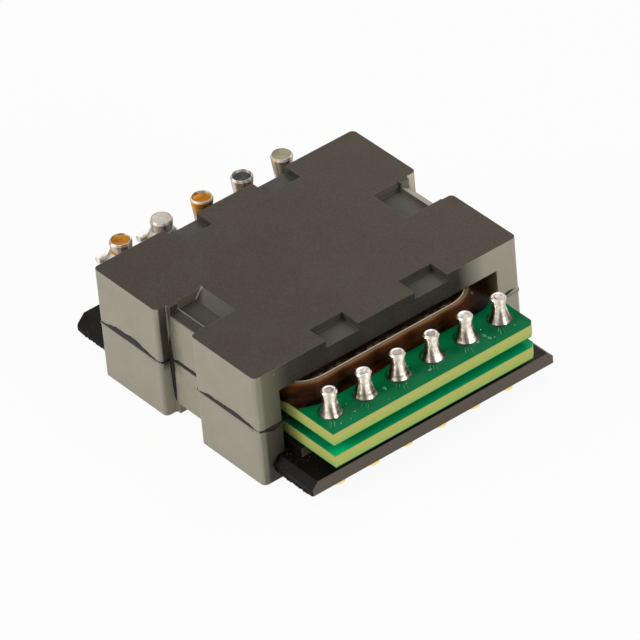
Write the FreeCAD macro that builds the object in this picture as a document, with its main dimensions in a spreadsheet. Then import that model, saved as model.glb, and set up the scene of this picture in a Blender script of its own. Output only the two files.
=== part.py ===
"""Planar transformer for surface mounting, in millimetres, +Z up, standing on its pin feet at z = 0.

Two E-shaped ferrite halves close round a stack of windings: an upper coil in a film cuff, a circuit
board, a middle coil and a second board. A moulded header below carries the stack and both pin rows.
The front row (+X) is soldered to the boards, and the back row (-X) takes the upper coil's wires.

Every piece is drawn about the core's own centre. One shift then centres the whole outline on X = 0.
"""

import FreeCAD, Part
import Sketcher
import os

V = FreeCAD.Vector

FRONT_PINS = 6
BACK_PINS = 5
LEADS = ("start", "finish")

# Driving dimensions: name, value, meaning
SIZES = (
    ("core_depth", 20.4, "core along X"),
    ("core_width", 26.4, "core along Y"),
    ("core_height", 10.4, "both halves with their joint"),
    ("core_back", 2.2, "thickness of each back plate"),
    ("core_leg", 2.25, "thickness of each outer leg"),
    ("core_corner", 0.45, "round on the core's upright corners"),
    ("core_lift", 0.1, "core above the mounting plane"),
    ("centre_leg_depth", 13.8, "centre leg along X"),
    ("centre_leg_width", 7.4, "centre leg along Y"),
    ("centre_leg_round", 2.6, "corner round of the centre leg"),
    ("air_gap", 0.3, "gap between the centre legs"),
    ("glue_thick", 0.12, "joint between the outer legs"),
    ("glue_bead", 0.07, "how far the glue stands out of the joint"),
    ("notch_width", 4.44, "upright channel in each end of the core"),
    ("notch_depth", 1.07, "depth of that channel"),
    ("notch_corner", 0.42, "round on the channel's outer corners"),
    ("notch_round", 0.18, "fillet in the channel's inner corners"),
    ("ramp_back_inset", 0.42, "lead-in ramp inside the channel's -X side"),
    ("ramp_front_inset", 0.1, "lead-in ramp inside the channel's +X side"),
    ("ramp_run", 0.85, "ramp inward from the channel's floor"),
    ("ramp_drop", 0.93, "foot of the ramp below the core's top"),
    ("ridge_drop", 0.48, "crest of the ramp below the core's top"),
    ("recess_inset", 0.08, "clip recess inside the channel's sides"),
    ("recess_run", 2.68, "clip recess along Y"),
    ("recess_depth", 0.87, "clip recess below the core's top"),
    ("recess_slope", 0.72, "slope of the recess's inner wall along Y"),
    ("ridge_slope", 0.12, "slope of the recess's outer wall along Y"),
    ("pocket_width", 3.3, "edge pocket along Y"),
    ("pocket_run", 2.05, "edge pocket along X"),
    ("pocket_depth", 0.65, "edge pocket below the core's top"),
    ("pocket_offset", 4.47, "edge pocket's centre from the middle"),
    ("pin_reach", 3.15, "both pin rows outside the core's faces"),
    ("front_margin", 1.65, "outer front pins inside the boards' sides"),
    ("back_margin", 4.0, "outer back pins inside the rails' ends"),
    ("rail_edge", 1.75, "rails outside the pin rows"),
    ("rail_inset", 1.0, "rails' ends inside the core's ends"),
    ("rail_thick", 1.2, "thickness of the pin rails"),
    ("rail_drop", 1.0, "underside of the rails below the web"),
    ("front_bevel", 0.6, "bevel along the front rail's side edges"),
    ("back_bevel", 0.9, "bevel along the back rail's side edges"),
    ("rail_gap", 0.15, "rails to the core"),
    ("back_corner", 0.25, "round on the back rail's corners"),
    ("front_corner", 0.12, "round on the front rail's corners"),
    ("web_pin_gap", 1.45, "ends of the web to the pin rows"),
    ("web_side_gap", 0.35, "web to the outer legs"),
    ("web_thick", 1.03, "thickness of the web that seats the lower board"),
    ("leg_gap", 0.2, "clearance round the centre leg"),
    ("board_edge", 2.3, "boards' front edge outside the pin row"),
    ("board_pin_gap", 1.25, "boards' back edge to the back pin row"),
    ("board_side_gap", 0.8, "boards to the outer legs"),
    ("board_thick", 1.15, "thickness of each board"),
    ("board_corner", 0.42, "bevel on the boards' front +Y corner"),
    ("film_thick", 0.05, "insulation sheets"),
    ("sheet_pin_gap", 1.4, "top sheet to the pin rows"),
    ("sheet_side_gap", 0.85, "top sheet to the outer legs"),
    ("sheet_corner", 0.7, "cut corners of the top sheet along X"),
    ("sheet_corner_run", 1.6, "cut corners of the top sheet along Y"),
    ("sheet_skew", 0.8, "top sheet's front edge drawn back on the +Y side"),
    ("sheet_skew_start", 2.5, "start of that skew on the -Y side of the middle"),
    ("sheet_skew_end", 3.5, "end of that skew on the +Y side of the middle"),
    ("middle_coil_pin_gap", 1.5, "middle coil to the pin rows"),
    ("middle_coil_side_gap", 1.05, "middle coil to the outer legs"),
    ("middle_coil_share", 0.42, "middle coil's share of the height left for windings"),
    ("coil_round", 3.2, "outer corner round of the windings"),
    ("wrap_foot_pin_gap", 1.75, "cuff's foot to the pin rows"),
    ("wrap_foot_side_gap", 0.65, "cuff's foot to the outer legs"),
    ("wrap_foot_shift", 0.1, "cuff's foot towards -Y"),
    ("wrap_foot_round", 2.4, "corner round of the cuff's foot"),
    ("wrap_rim_pin_gap", 2.15, "cuff's rim to the pin rows"),
    ("wrap_rim_side_gap", 1.25, "cuff's rim to the outer legs"),
    ("wrap_rim_shift", 0.7, "cuff's rim towards -Y"),
    ("wrap_rim_stand", 0.3, "cuff's rim above the upper coil"),
    ("wrap_headroom", 0.15, "cuff's rim below the upper back plate"),
    ("wrap_wall", 0.26, "wall of the cuff"),
    ("wrap_coil_gap", 0.05, "upper coil inside the cuff's rim"),
    ("foot_collar", 0.22, "solder foot outside every pin's shaft"),
    ("foot_height", 0.5, "height of the solder foot"),
    ("foot_neck", 0.25, "height of the cone above the foot"),
    ("front_radius", 0.44, "front pin's shaft"),
    ("front_stand", 2.2, "top of the front pins above the upper board"),
    ("front_head", 0.64, "front pin's head radius"),
    ("front_head_height", 0.16, "straight part of the head"),
    ("front_flare", 0.72, "height of the flare below the head"),
    ("front_lip", 0.2, "rim round the dimple in the front pin's head"),
    ("front_cup_depth", 0.12, "depth of the dimple"),
    ("edge_break", 0.1, "broken edge on the pin heads"),
    ("back_radius", 0.72, "back pin's shaft"),
    ("back_stand", 1.85, "top of the back pins above the wires' axis"),
    ("back_head", 0.94, "back pin's head radius"),
    ("back_flare", 2.4, "height of the flare below the back pin's top"),
    ("back_lip", 0.13, "rim round the cup in the back pin's head"),
    ("back_cup_depth", 0.35, "depth of that cup"),
    ("press_gap", 0.01, "pins in the header and in their solder"),
    ("hole_gap", 0.06, "pins in the boards"),
    ("land_radius", 0.98, "copper land round each front pin"),
    ("land_thick", 0.04, "thickness of the lands"),
    ("joint_inset", 0.06, "solder joint inside its land"),
    ("joint_hollow", 3.4, "curve of the joint's side"),
    ("joint_skin", 0.05, "solder left on the shaft at the joint's top"),
    ("joint_gap", 0.02, "solder joint below the head's flare"),
    ("lead_radius", 0.3, "tinned wire"),
    ("lead_rise", 0.55, "wire's axis above the upper coil's floor"),
    ("lead_pin_gap", 0.03, "wire to its pin"),
    ("lead_tail", 1.65, "wire's tail past the pin"),
    ("slit_gap", 0.1, "cuff's slit beside the wire"),
    ("blob_cover", 0.22, "solder outside the wire's axis round the pin"),
    ("blob_rise", 0.85, "that solder above the wire's axis"),
    ("blob_fall", 0.5, "that solder below the wire's axis"),
)

# Reaches along X and Y, worked out from the core's window and faces
WINDOW_SIDE = "(Sizes.core_width / 2 - Sizes.core_leg)"
BOARD_SIDE = "(" + WINDOW_SIDE + " - Sizes.board_side_gap)"
RAIL_SIDE = "(Sizes.core_width / 2 - Sizes.rail_inset)"
PIN_ROW = "(Sizes.core_depth / 2 + Sizes.pin_reach)"
RAIL_END = "(" + PIN_ROW + " + Sizes.rail_edge)"
BOARD_FRONT = "(" + PIN_ROW + " + Sizes.board_edge)"
UPPER_COIL_END = "(" + PIN_ROW + " - Sizes.wrap_rim_pin_gap - Sizes.wrap_wall - Sizes.wrap_coil_gap)"
X_SHIFT = "(" + RAIL_END + " - " + BOARD_FRONT + ") / 2"

# Heights of the stack, each worked out from the one below it
HALF_HEIGHT = "((Sizes.core_height - Sizes.glue_thick) / 2)"
JOINT_HEIGHT = "(Sizes.core_lift + Sizes.core_height / 2)"
WINDOW_FLOOR = "(Sizes.core_lift + Sizes.core_back)"
WINDINGS = ("(Sizes.core_height - 2 * Sizes.core_back - Sizes.web_thick - 2 * Sizes.board_thick"
            " - 3 * Sizes.film_thick - Sizes.wrap_rim_stand - Sizes.wrap_headroom)")
MIDDLE_COIL_HEIGHT = "(" + WINDINGS + " * Sizes.middle_coil_share)"
UPPER_COIL_HEIGHT = "(" + WINDINGS + " * (1 - Sizes.middle_coil_share))"
WEB_TOP = "(" + WINDOW_FLOOR + " + Sizes.web_thick)"
LOWER_BOARD_TOP = "(" + WEB_TOP + " + Sizes.board_thick)"
MIDDLE_COIL_FLOOR = "(" + LOWER_BOARD_TOP + " + Sizes.film_thick)"
MIDDLE_COIL_TOP = "(" + MIDDLE_COIL_FLOOR + " + " + MIDDLE_COIL_HEIGHT + ")"
UPPER_BOARD_FLOOR = "(" + MIDDLE_COIL_TOP + " + Sizes.film_thick)"
UPPER_BOARD_TOP = "(" + UPPER_BOARD_FLOOR + " + Sizes.board_thick)"
UPPER_COIL_FLOOR = "(" + UPPER_BOARD_TOP + " + Sizes.film_thick)"
WRAP_HEIGHT = "(" + UPPER_COIL_HEIGHT + " + Sizes.wrap_rim_stand)"
LEAD_HEIGHT = "(" + UPPER_COIL_FLOOR + " + Sizes.lead_rise)"
FRONT_TOP = "(" + UPPER_BOARD_TOP + " + Sizes.front_stand)"
BACK_TOP = "(" + LEAD_HEIGHT + " + Sizes.back_stand)"

# A wire's bend clears its pin's flare at the level of the wire's upper side
FLARE_RISE = "(Sizes.back_flare - Sizes.back_stand + Sizes.lead_radius)"
FLARE_SLOPE = "((Sizes.back_head - Sizes.back_radius) / (Sizes.back_flare - 2 * Sizes.edge_break))"
PIN_AT_LEAD = "(Sizes.back_radius + " + FLARE_RISE + " * " + FLARE_SLOPE + ")"
LEAD_BEND = "(" + PIN_AT_LEAD + " + Sizes.lead_pin_gap + Sizes.lead_radius)"

doc = FreeCAD.newDocument("planar_transformer")
sheet = doc.addObject("Spreadsheet::Sheet", "Sizes")
for row, (alias, number, meaning) in enumerate(SIZES, start=1):
    sheet.set("A%d" % row, alias)
    sheet.set("B%d" % row, str(number))
    sheet.set("C%d" % row, meaning)
    sheet.setAlias("B%d" % row, alias)
doc.recompute()


def value(expression):
    """The number that an expression over the sheet gives now."""
    return float(sheet.evalExpression(expression))


def new_body(label, floor, turned=False):
    """A body whose local z = 0 lies at the given height, turned over about X if asked."""
    body = doc.addObject("PartDesign::Body", label)
    body.Label = label
    if turned:
        body.Placement = FreeCAD.Placement(V(0, 0, 0), FreeCAD.Rotation(V(1, 0, 0), 180))
    body.setExpression("Placement.Base.x", X_SHIFT)
    body.setExpression("Placement.Base.z", floor)
    return body


def new_sketch(body, name, plane, offset=None):
    """A sketch on one of the body's origin planes, moved along its normal by an expression."""
    sketch = body.newObject("Sketcher::SketchObject", name)
    support = [item for item in body.Origin.OriginFeatures if item.Role == plane][0]
    sketch.AttachmentSupport = [(support, "")]
    sketch.MapMode = "FlatFace"
    if offset:
        sketch.setExpression("AttachmentOffset.Base.z", offset)
    return sketch


def pin_point(sketch, geometry, position, x, y):
    """Hold one point of a sketch at two expressions."""
    for kind, expression in (("DistanceX", x), ("DistanceY", y)):
        index = sketch.addConstraint(Sketcher.Constraint(kind, -1, 1, geometry, position, value(expression)))
        name = "%s_%d" % (kind[-1].lower(), index)
        sketch.renameConstraint(index, name)
        sketch.setExpression("Constraints." + name, expression)


def hold_radius(sketch, geometry, radius):
    """Hold the radius of a circle or an arc at an expression."""
    index = sketch.addConstraint(Sketcher.Constraint("Radius", geometry, value(radius)))
    name = "r_%d" % index
    sketch.renameConstraint(index, name)
    sketch.setExpression("Constraints." + name, radius)


def arc_middle(start, end, radius, left):
    """The middle of the shorter arc from start to end, bulging to the left of the way or to the right."""
    chord = end - start
    half = chord.Length / 2
    rise = radius - (radius ** 2 - half ** 2) ** 0.5
    normal = V(-chord.y, chord.x, 0).normalize()
    return (start + end) * 0.5 + normal * (rise if left else -rise)


def add_outline(sketch, points):
    """A closed outline of lines and arcs.

    Each point is (x, y) or, where an arc runs on to the next point, (x, y, radius, side).
    """
    places = [V(value(point[0]), value(point[1]), 0) for point in points]
    ends = []
    for index, point in enumerate(points):
        start, end = places[index], places[(index + 1) % len(points)]
        if len(point) == 4:
            left = point[3] == "left"
            middle = arc_middle(start, end, value(point[2]), left)
            arc = Part.Arc(end, middle, start) if left else Part.Arc(start, middle, end)
            geometry = sketch.addGeometry(arc, False)
            ends.append((geometry, 2, 1) if left else (geometry, 1, 2))
        else:
            geometry = sketch.addGeometry(Part.LineSegment(start, end), False)
            ends.append((geometry, 1, 2))
    for index, (geometry, first, last) in enumerate(ends):
        following = ends[(index + 1) % len(ends)]
        sketch.addConstraint(Sketcher.Constraint("Coincident", geometry, last, following[0], following[1]))
        pin_point(sketch, geometry, first, points[index][0], points[index][1])
        if len(points[index]) == 4:
            hold_radius(sketch, geometry, points[index][2])


def add_box(sketch, left, low, right, high):
    """A rectangle between two corners."""
    add_outline(sketch, [(left, low), (right, low), (right, high), (left, high)])


def add_rounded_box(sketch, left, low, right, high, radius):
    """A rectangle with four round corners."""
    add_outline(sketch, [
        ("%s + %s" % (left, radius), low),
        ("%s - %s" % (right, radius), low, radius, "right"),
        (right, "%s + %s" % (low, radius)),
        (right, "%s - %s" % (high, radius), radius, "right"),
        ("%s - %s" % (right, radius), high),
        ("%s + %s" % (left, radius), high, radius, "right"),
        (left, "%s - %s" % (high, radius)),
        (left, "%s + %s" % (low, radius), radius, "right"),
    ])


def add_circle(sketch, x, y, radius):
    """A circle at two expressions."""
    centre = V(value(x), value(y), 0)
    geometry = sketch.addGeometry(Part.Circle(centre, V(0, 0, 1), value(radius)), False)
    pin_point(sketch, geometry, 3, x, y)
    hold_radius(sketch, geometry, radius)


def pad(body, name, sketch, length, symmetric=False):
    """Extrude a sketch along its normal, or both ways."""
    feature = body.newObject("PartDesign::Pad", name)
    feature.Profile = sketch
    if symmetric:
        feature.SideType = "Symmetric"
    feature.setExpression("Length", length)
    doc.recompute()
    return feature


def pocket(body, name, sketch, length=None, symmetric=False):
    """Cut a sketch out of the body against its normal, both ways, or right through."""
    before = body.Shape.Volume
    feature = body.newObject("PartDesign::Pocket", name)
    feature.Profile = sketch
    if symmetric:
        feature.SideType = "Symmetric"
    if length:
        feature.setExpression("Length", length)
    else:
        feature.Type = "ThroughAll"
    doc.recompute()
    if not feature.Shape.Volume < before - 1e-6:
        raise RuntimeError("%s cuts nothing from %s" % (name, body.Label))
    return feature


def round_uprights(body, name, base, radius, wanted):
    """Round the upright edges of a feature whose place passes a test."""
    chosen = []
    for index, edge in enumerate(base.Shape.Edges, start=1):
        if len(edge.Vertexes) != 2:
            continue
        first, last = edge.Vertexes[0].Point, edge.Vertexes[1].Point
        upright = abs(first.x - last.x) < 1e-6 and abs(first.y - last.y) < 1e-6
        if upright and wanted(first):
            chosen.append("Edge%d" % index)
    feature = body.newObject("PartDesign::Fillet", name)
    feature.Base = (base, chosen)
    feature.setExpression("Radius", radius)
    doc.recompute()
    return feature


def revolve(body, name, sketch):
    """Turn a sketch drawn beside its upright axis into a solid of revolution."""
    feature = body.newObject("PartDesign::Revolution", name)
    feature.Profile = sketch
    feature.ReferenceAxis = (sketch, ["V_Axis"])
    feature.Angle = 360
    doc.recompute()
    return feature


def near(a, b):
    return abs(a - b) < 1e-4


def leg_hole(sketch):
    """The hole for the centre leg, with its clearance."""
    half_x = "(Sizes.centre_leg_depth / 2 + Sizes.leg_gap)"
    half_y = "(Sizes.centre_leg_width / 2 + Sizes.leg_gap)"
    round_off = "(Sizes.centre_leg_round + Sizes.leg_gap)"
    add_rounded_box(sketch, "-" + half_x, "-" + half_y, half_x, half_y, round_off)


def row_y(number, count, reach):
    """The place along Y of one pin of a row that spans a reach to either side."""
    return "(%d / %d * %s)" % (2 * number - count - 1, count - 1, reach)


def front_pin_y(number):
    return row_y(number, FRONT_PINS, "(" + BOARD_SIDE + " - Sizes.front_margin)")


def back_pin_y(number):
    return row_y(number, BACK_PINS, "(" + RAIL_SIDE + " - Sizes.back_margin)")


def make_core_half(label, floor, turned):
    """An E half with its joint face at local z = 0 and its back plate on top."""
    body = new_body(label, floor, turned)
    side, window = "(Sizes.core_width / 2)", "(" + HALF_HEIGHT + " - Sizes.core_back)"
    inner = WINDOW_SIDE
    end_floor = "(" + side + " - Sizes.notch_depth)"

    profile = new_sketch(body, "e_profile", "YZ_Plane")
    add_outline(profile, [
        ("-" + side, "0"), ("-" + inner, "0"), ("-" + inner, window), (inner, window),
        (inner, "0"), (side, "0"), (side, HALF_HEIGHT), ("-" + side, HALF_HEIGHT),
    ])
    pad(body, "e_form", profile, "Sizes.core_depth", symmetric=True)

    leg = new_sketch(body, "centre_leg_outline", "XY_Plane", "Sizes.air_gap / 2 - Sizes.glue_thick / 2")
    half_x, half_y = "(Sizes.centre_leg_depth / 2)", "(Sizes.centre_leg_width / 2)"
    add_rounded_box(leg, "-" + half_x, "-" + half_y, half_x, half_y, "Sizes.centre_leg_round")
    pad(body, "centre_leg", leg, window + " - (Sizes.air_gap - Sizes.glue_thick) / 2")

    channels = new_sketch(body, "channel_outline", "XY_Plane", HALF_HEIGHT)
    half_notch = "(Sizes.notch_width / 2)"
    add_box(channels, "-" + half_notch, end_floor, half_notch, side)
    add_box(channels, "-" + half_notch, "-" + side, half_notch, "-" + end_floor)
    cut = pocket(body, "channels", channels)

    def upright_at(x, y):
        return lambda point: near(abs(point.x), value(x)) and near(abs(point.y), value(y))

    cut = round_uprights(body, "corners", cut, "Sizes.core_corner", upright_at("Sizes.core_depth / 2", side))
    cut = round_uprights(body, "channel_corners", cut, "Sizes.notch_corner", upright_at(half_notch, side))
    round_uprights(body, "channel_fillets", cut, "Sizes.notch_round", upright_at(half_notch, end_floor))

    ramps = new_sketch(body, "ramp_profile", "YZ_Plane", half_notch + " - Sizes.ramp_front_inset")
    crest = "(" + end_floor + " - Sizes.ramp_run)"
    ridge = "(" + HALF_HEIGHT + " - Sizes.ridge_drop)"
    for sign in ("-", ""):
        add_outline(ramps, [
            (sign + end_floor, HALF_HEIGHT + " - Sizes.ramp_drop"), (sign + crest, ridge),
            (sign + crest, HALF_HEIGHT), (sign + end_floor, HALF_HEIGHT),
        ])
    pocket(body, "ramps", ramps, "Sizes.notch_width - Sizes.ramp_front_inset - Sizes.ramp_back_inset")

    recesses = new_sketch(body, "recess_profile", "YZ_Plane")
    recess_floor = HALF_HEIGHT + " - Sizes.recess_depth"
    far_wall = "(" + crest + " - Sizes.recess_run)"
    for sign in ("-", ""):
        add_outline(recesses, [
            (sign + "(" + crest + " - Sizes.ridge_slope)", recess_floor), (sign + crest, ridge),
            (sign + crest, HALF_HEIGHT), (sign + far_wall, HALF_HEIGHT),
            (sign + "(" + far_wall + " + Sizes.recess_slope)", recess_floor),
        ])
    pocket(body, "recesses", recesses, "Sizes.notch_width - 2 * Sizes.recess_inset", symmetric=True)

    edges = new_sketch(body, "edge_pocket_outline", "XY_Plane", HALF_HEIGHT)
    inner_x, outer_x = "(Sizes.core_depth / 2 - Sizes.pocket_run)", "(Sizes.core_depth / 2)"
    for y in ("-Sizes.pocket_offset", "Sizes.pocket_offset"):
        low, high = y + " - Sizes.pocket_width / 2", y + " + Sizes.pocket_width / 2"
        add_box(edges, inner_x, low, outer_x, high)
        add_box(edges, "-" + outer_x, low, "-" + inner_x, high)
    pocket(body, "edge_pockets", edges, "Sizes.pocket_depth")
    return body


def make_glue(label, sign):
    """The joint between two outer legs, a little proud of them all round and following the channel."""
    body = new_body(label, JOINT_HEIGHT + " - Sizes.glue_thick / 2")
    outer = "(Sizes.core_width / 2 + Sizes.glue_bead)"
    inner = "(" + WINDOW_SIDE + " - Sizes.glue_bead)"
    half_x = "(Sizes.core_depth / 2 + Sizes.glue_bead)"
    half_notch = "(Sizes.notch_width / 2 - Sizes.glue_bead)"
    floor = "(Sizes.core_width / 2 - Sizes.notch_depth + Sizes.glue_bead)"
    outline = new_sketch(body, "joint_outline", "XY_Plane")
    add_outline(outline, [
        ("-" + half_x, sign + inner), (half_x, sign + inner), (half_x, sign + outer),
        (half_notch, sign + outer), (half_notch, sign + floor), ("-" + half_notch, sign + floor),
        ("-" + half_notch, sign + outer), ("-" + half_x, sign + outer),
    ])
    last = pad(body, "joint", outline, "Sizes.glue_thick")
    for name, radius, reach, face in (
            ("corners", "Sizes.core_corner + Sizes.glue_bead", half_x, outer),
            ("channel_corners", "Sizes.notch_corner + Sizes.glue_bead", half_notch, outer),
            ("channel_fillets", "Sizes.notch_round - Sizes.glue_bead", half_notch, floor)):
        x, y = value(reach), value(face)
        last = round_uprights(body, name, last, radius,
                              lambda point: near(abs(point.x), x) and near(abs(point.y), y))
    return body


def make_header():
    """The moulded header: a web through the core's windows with a pin rail at each end."""
    body = new_body("header", WINDOW_FLOOR)
    web_end = "(" + PIN_ROW + " - Sizes.web_pin_gap)"
    web_side = "(" + WINDOW_SIDE + " - Sizes.web_side_gap)"
    outline = new_sketch(body, "web_outline", "XY_Plane")
    add_box(outline, "-" + web_end, "-" + web_side, web_end, web_side)
    leg_hole(outline)
    pad(body, "web", outline, "Sizes.web_thick")

    rail_start = "(Sizes.core_depth / 2 + Sizes.rail_gap)"
    rail_top = "(Sizes.rail_thick - Sizes.rail_drop)"
    for name, offset in (("front", rail_start), ("back", "-" + RAIL_END)):
        bevel = "(" + RAIL_SIDE + " - Sizes." + name + "_bevel)"
        shoulder = "(" + rail_top + " - Sizes." + name + "_bevel)"
        profile = new_sketch(body, name + "_rail_profile", "YZ_Plane", offset)
        add_outline(profile, [
            ("-" + RAIL_SIDE, "-Sizes.rail_drop"), (RAIL_SIDE, "-Sizes.rail_drop"), (RAIL_SIDE, shoulder),
            (bevel, rail_top), ("-" + bevel, rail_top), ("-" + RAIL_SIDE, shoulder),
        ])
        pad(body, name + "_rail", profile, RAIL_END + " - " + rail_start)

    holes = new_sketch(body, "pin_holes_outline", "XY_Plane", "Sizes.web_thick")
    for number in range(1, FRONT_PINS + 1):
        add_circle(holes, PIN_ROW, front_pin_y(number), "Sizes.front_radius + Sizes.press_gap")
    for number in range(1, BACK_PINS + 1):
        add_circle(holes, "-" + PIN_ROW, back_pin_y(number), "Sizes.back_radius + Sizes.press_gap")
    last = pocket(body, "pin_holes", holes)

    end, half_width = value(RAIL_END), value(RAIL_SIDE)
    last = round_uprights(body, "back_corners", last, "Sizes.back_corner",
                          lambda point: near(point.x, -end) and near(abs(point.y), half_width))
    round_uprights(body, "front_corners", last, "Sizes.front_corner",
                   lambda point: near(point.x, end) and near(abs(point.y), half_width))
    return body


def make_board(label, floor):
    """A circuit board with its hole for the centre leg and the front pins' holes."""
    body = new_body(label, floor)
    back, bevel = "-(" + PIN_ROW + " - Sizes.board_pin_gap)", "Sizes.board_corner"
    outline = new_sketch(body, "board_outline", "XY_Plane")
    add_outline(outline, [
        (back, "-" + BOARD_SIDE), (BOARD_FRONT, "-" + BOARD_SIDE),
        (BOARD_FRONT, BOARD_SIDE + " - " + bevel), (BOARD_FRONT + " - " + bevel, BOARD_SIDE),
        (back, BOARD_SIDE),
    ])
    leg_hole(outline)
    for number in range(1, FRONT_PINS + 1):
        add_circle(outline, PIN_ROW, front_pin_y(number), "Sizes.front_radius + Sizes.hole_gap")
    pad(body, "board", outline, "Sizes.board_thick")
    return body


def make_ring(label, floor, half_x, half_y, thick, shift="0"):
    """A flat racetrack ring round the centre leg: a winding or a sheet of film."""
    body = new_body(label, floor)
    outline = new_sketch(body, "ring_outline", "XY_Plane")
    add_rounded_box(outline, "-" + half_x, "-%s - %s" % (half_y, shift), half_x, "%s - %s" % (half_y, shift),
                    "Sizes.coil_round")
    leg_hole(outline)
    pad(body, "ring", outline, thick)
    return body


def make_sheet():
    """The insulation sheet under the upper coil, cut off at its corners and a little askew in front."""
    body = new_body("top_film", UPPER_BOARD_TOP)
    end, side = "(" + PIN_ROW + " - Sizes.sheet_pin_gap)", "(" + WINDOW_SIDE + " - Sizes.sheet_side_gap)"
    step, corner = "(" + end + " - Sizes.sheet_skew)", "(" + side + " - Sizes.sheet_corner_run)"
    outline = new_sketch(body, "sheet_outline", "XY_Plane")
    add_outline(outline, [
        ("-" + end, "-" + corner), ("-" + end + " + Sizes.sheet_corner", "-" + side),
        (end + " - Sizes.sheet_corner", "-" + side), (end, "-" + corner),
        (end, "-Sizes.sheet_skew_start"), (step, "Sizes.sheet_skew_end"),
        (step, corner), (step + " - Sizes.sheet_corner", side),
        ("-" + end + " + Sizes.sheet_corner", side), ("-" + end, corner),
    ])
    leg_hole(outline)
    pad(body, "sheet", outline, "Sizes.film_thick")
    return body


def make_wrap():
    """The film cuff round the upper coil: it leans inward from its foot to its rim, with two wire slits."""
    body = new_body("coil_wrap", UPPER_COIL_FLOOR)

    def loft(kind, name, inset):
        sections = []
        for level, offset, corner in (("foot", None, "wrap_foot_round"), ("rim", WRAP_HEIGHT, "coil_round")):
            size = "Sizes.wrap_" + level
            half_x = "(%s - %s_pin_gap - %s)" % (PIN_ROW, size, inset)
            half_y = "(%s - %s_side_gap - %s)" % (WINDOW_SIDE, size, inset)
            outline = new_sketch(body, "%s_%s" % (name, level), "XY_Plane", offset)
            add_rounded_box(outline, "-" + half_x, "-%s - %s_shift" % (half_y, size), half_x,
                            "%s - %s_shift" % (half_y, size), "(Sizes.%s - %s)" % (corner, inset))
            sections.append(outline)
        feature = body.newObject(kind, name)
        feature.Profile = sections[0]
        feature.Sections = [sections[1]]
        feature.Ruled = True
        doc.recompute()
        return feature

    loft("PartDesign::AdditiveLoft", "outside", "0")
    loft("PartDesign::SubtractiveLoft", "inside", "Sizes.wrap_wall")

    slits = new_sketch(body, "slit_outline", "XY_Plane", WRAP_HEIGHT)
    half_slit = "(Sizes.lead_radius + Sizes.slit_gap)"
    for number in range(1, len(LEADS) + 1):
        middle = "(" + back_pin_y(number) + " + " + LEAD_BEND + ")"
        add_box(slits, "-(" + PIN_ROW + " - Sizes.wrap_foot_pin_gap)", middle + " - " + half_slit,
                "-" + UPPER_COIL_END, middle + " + " + half_slit)
    pocket(body, "slits", slits, WRAP_HEIGHT + " - Sizes.lead_rise + " + half_slit)
    return body


def make_front_pin(number):
    """A turned front pin: solder foot, shaft and a flared head with a dimple."""
    body = new_body("front_pin_%d" % number, "0")
    body.setExpression("Placement.Base.x", X_SHIFT + " + " + PIN_ROW)
    body.setExpression("Placement.Base.y", front_pin_y(number))
    top, radius, head = FRONT_TOP, "Sizes.front_radius", "Sizes.front_head"
    foot = radius + " + Sizes.foot_collar"
    under_head = top + " - Sizes.front_head_height"
    profile = new_sketch(body, "pin_profile", "XZ_Plane")
    add_outline(profile, [
        ("0", "0"), (foot, "0"), (foot, "Sizes.foot_height"),
        (radius, "Sizes.foot_height + Sizes.foot_neck"), (radius, under_head + " - Sizes.front_flare"),
        (head, under_head), (head, top + " - Sizes.edge_break"), (head + " - Sizes.edge_break", top),
        (head + " - Sizes.front_lip", top), ("0", top + " - Sizes.front_cup_depth"),
    ])
    revolve(body, "pin", profile)
    return body


def make_back_pin(number):
    """A turned back pin: solder foot, shaft and a long flare to its cup."""
    body = new_body("back_pin_%d" % number, "0")
    body.setExpression("Placement.Base.x", X_SHIFT + " - " + PIN_ROW)
    body.setExpression("Placement.Base.y", back_pin_y(number))
    top, radius, head = BACK_TOP, "Sizes.back_radius", "Sizes.back_head"
    foot = radius + " + Sizes.foot_collar"
    cup_floor = top + " - Sizes.back_cup_depth"
    profile = new_sketch(body, "pin_profile", "XZ_Plane")
    add_outline(profile, [
        ("0", "0"), (foot, "0"), (foot, "Sizes.foot_height"),
        (radius, "Sizes.foot_height + Sizes.foot_neck"), (radius, top + " - Sizes.back_flare"),
        (head, top + " - 2 * Sizes.edge_break"), (head + " - Sizes.edge_break", top),
        (head + " - Sizes.back_lip", top), (head + " - Sizes.back_lip - Sizes.edge_break", cup_floor),
        ("0", cup_floor),
    ])
    revolve(body, "pin", profile)
    return body


def make_land(number):
    """The copper ring on the upper board round a front pin."""
    body = new_body("front_land_%d" % number, UPPER_BOARD_TOP)
    outline = new_sketch(body, "land_outline", "XY_Plane")
    for radius in ("Sizes.land_radius", "Sizes.front_radius + Sizes.hole_gap"):
        add_circle(outline, PIN_ROW, front_pin_y(number), radius)
    pad(body, "land", outline, "Sizes.land_thick")
    return body


def make_front_solder(number):
    """The cone of solder that climbs a front pin from its land, a little hollow in its side."""
    body = new_body("front_solder_%d" % number, UPPER_BOARD_TOP + " + Sizes.land_thick")
    body.setExpression("Placement.Base.x", X_SHIFT + " + " + PIN_ROW)
    body.setExpression("Placement.Base.y", front_pin_y(number))
    bore = "(Sizes.front_radius + Sizes.press_gap)"
    head = "Sizes.front_head_height + Sizes.front_flare"
    height = "(Sizes.front_stand - Sizes.land_thick - Sizes.joint_gap - (" + head + "))"
    profile = new_sketch(body, "joint_profile", "XZ_Plane")
    add_outline(profile, [
        (bore, "0"), ("Sizes.land_radius - Sizes.joint_inset", "0", "Sizes.joint_hollow", "left"),
        (bore + " + Sizes.joint_skin", height), (bore, height),
    ])
    revolve(body, "joint", profile)
    return body


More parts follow.
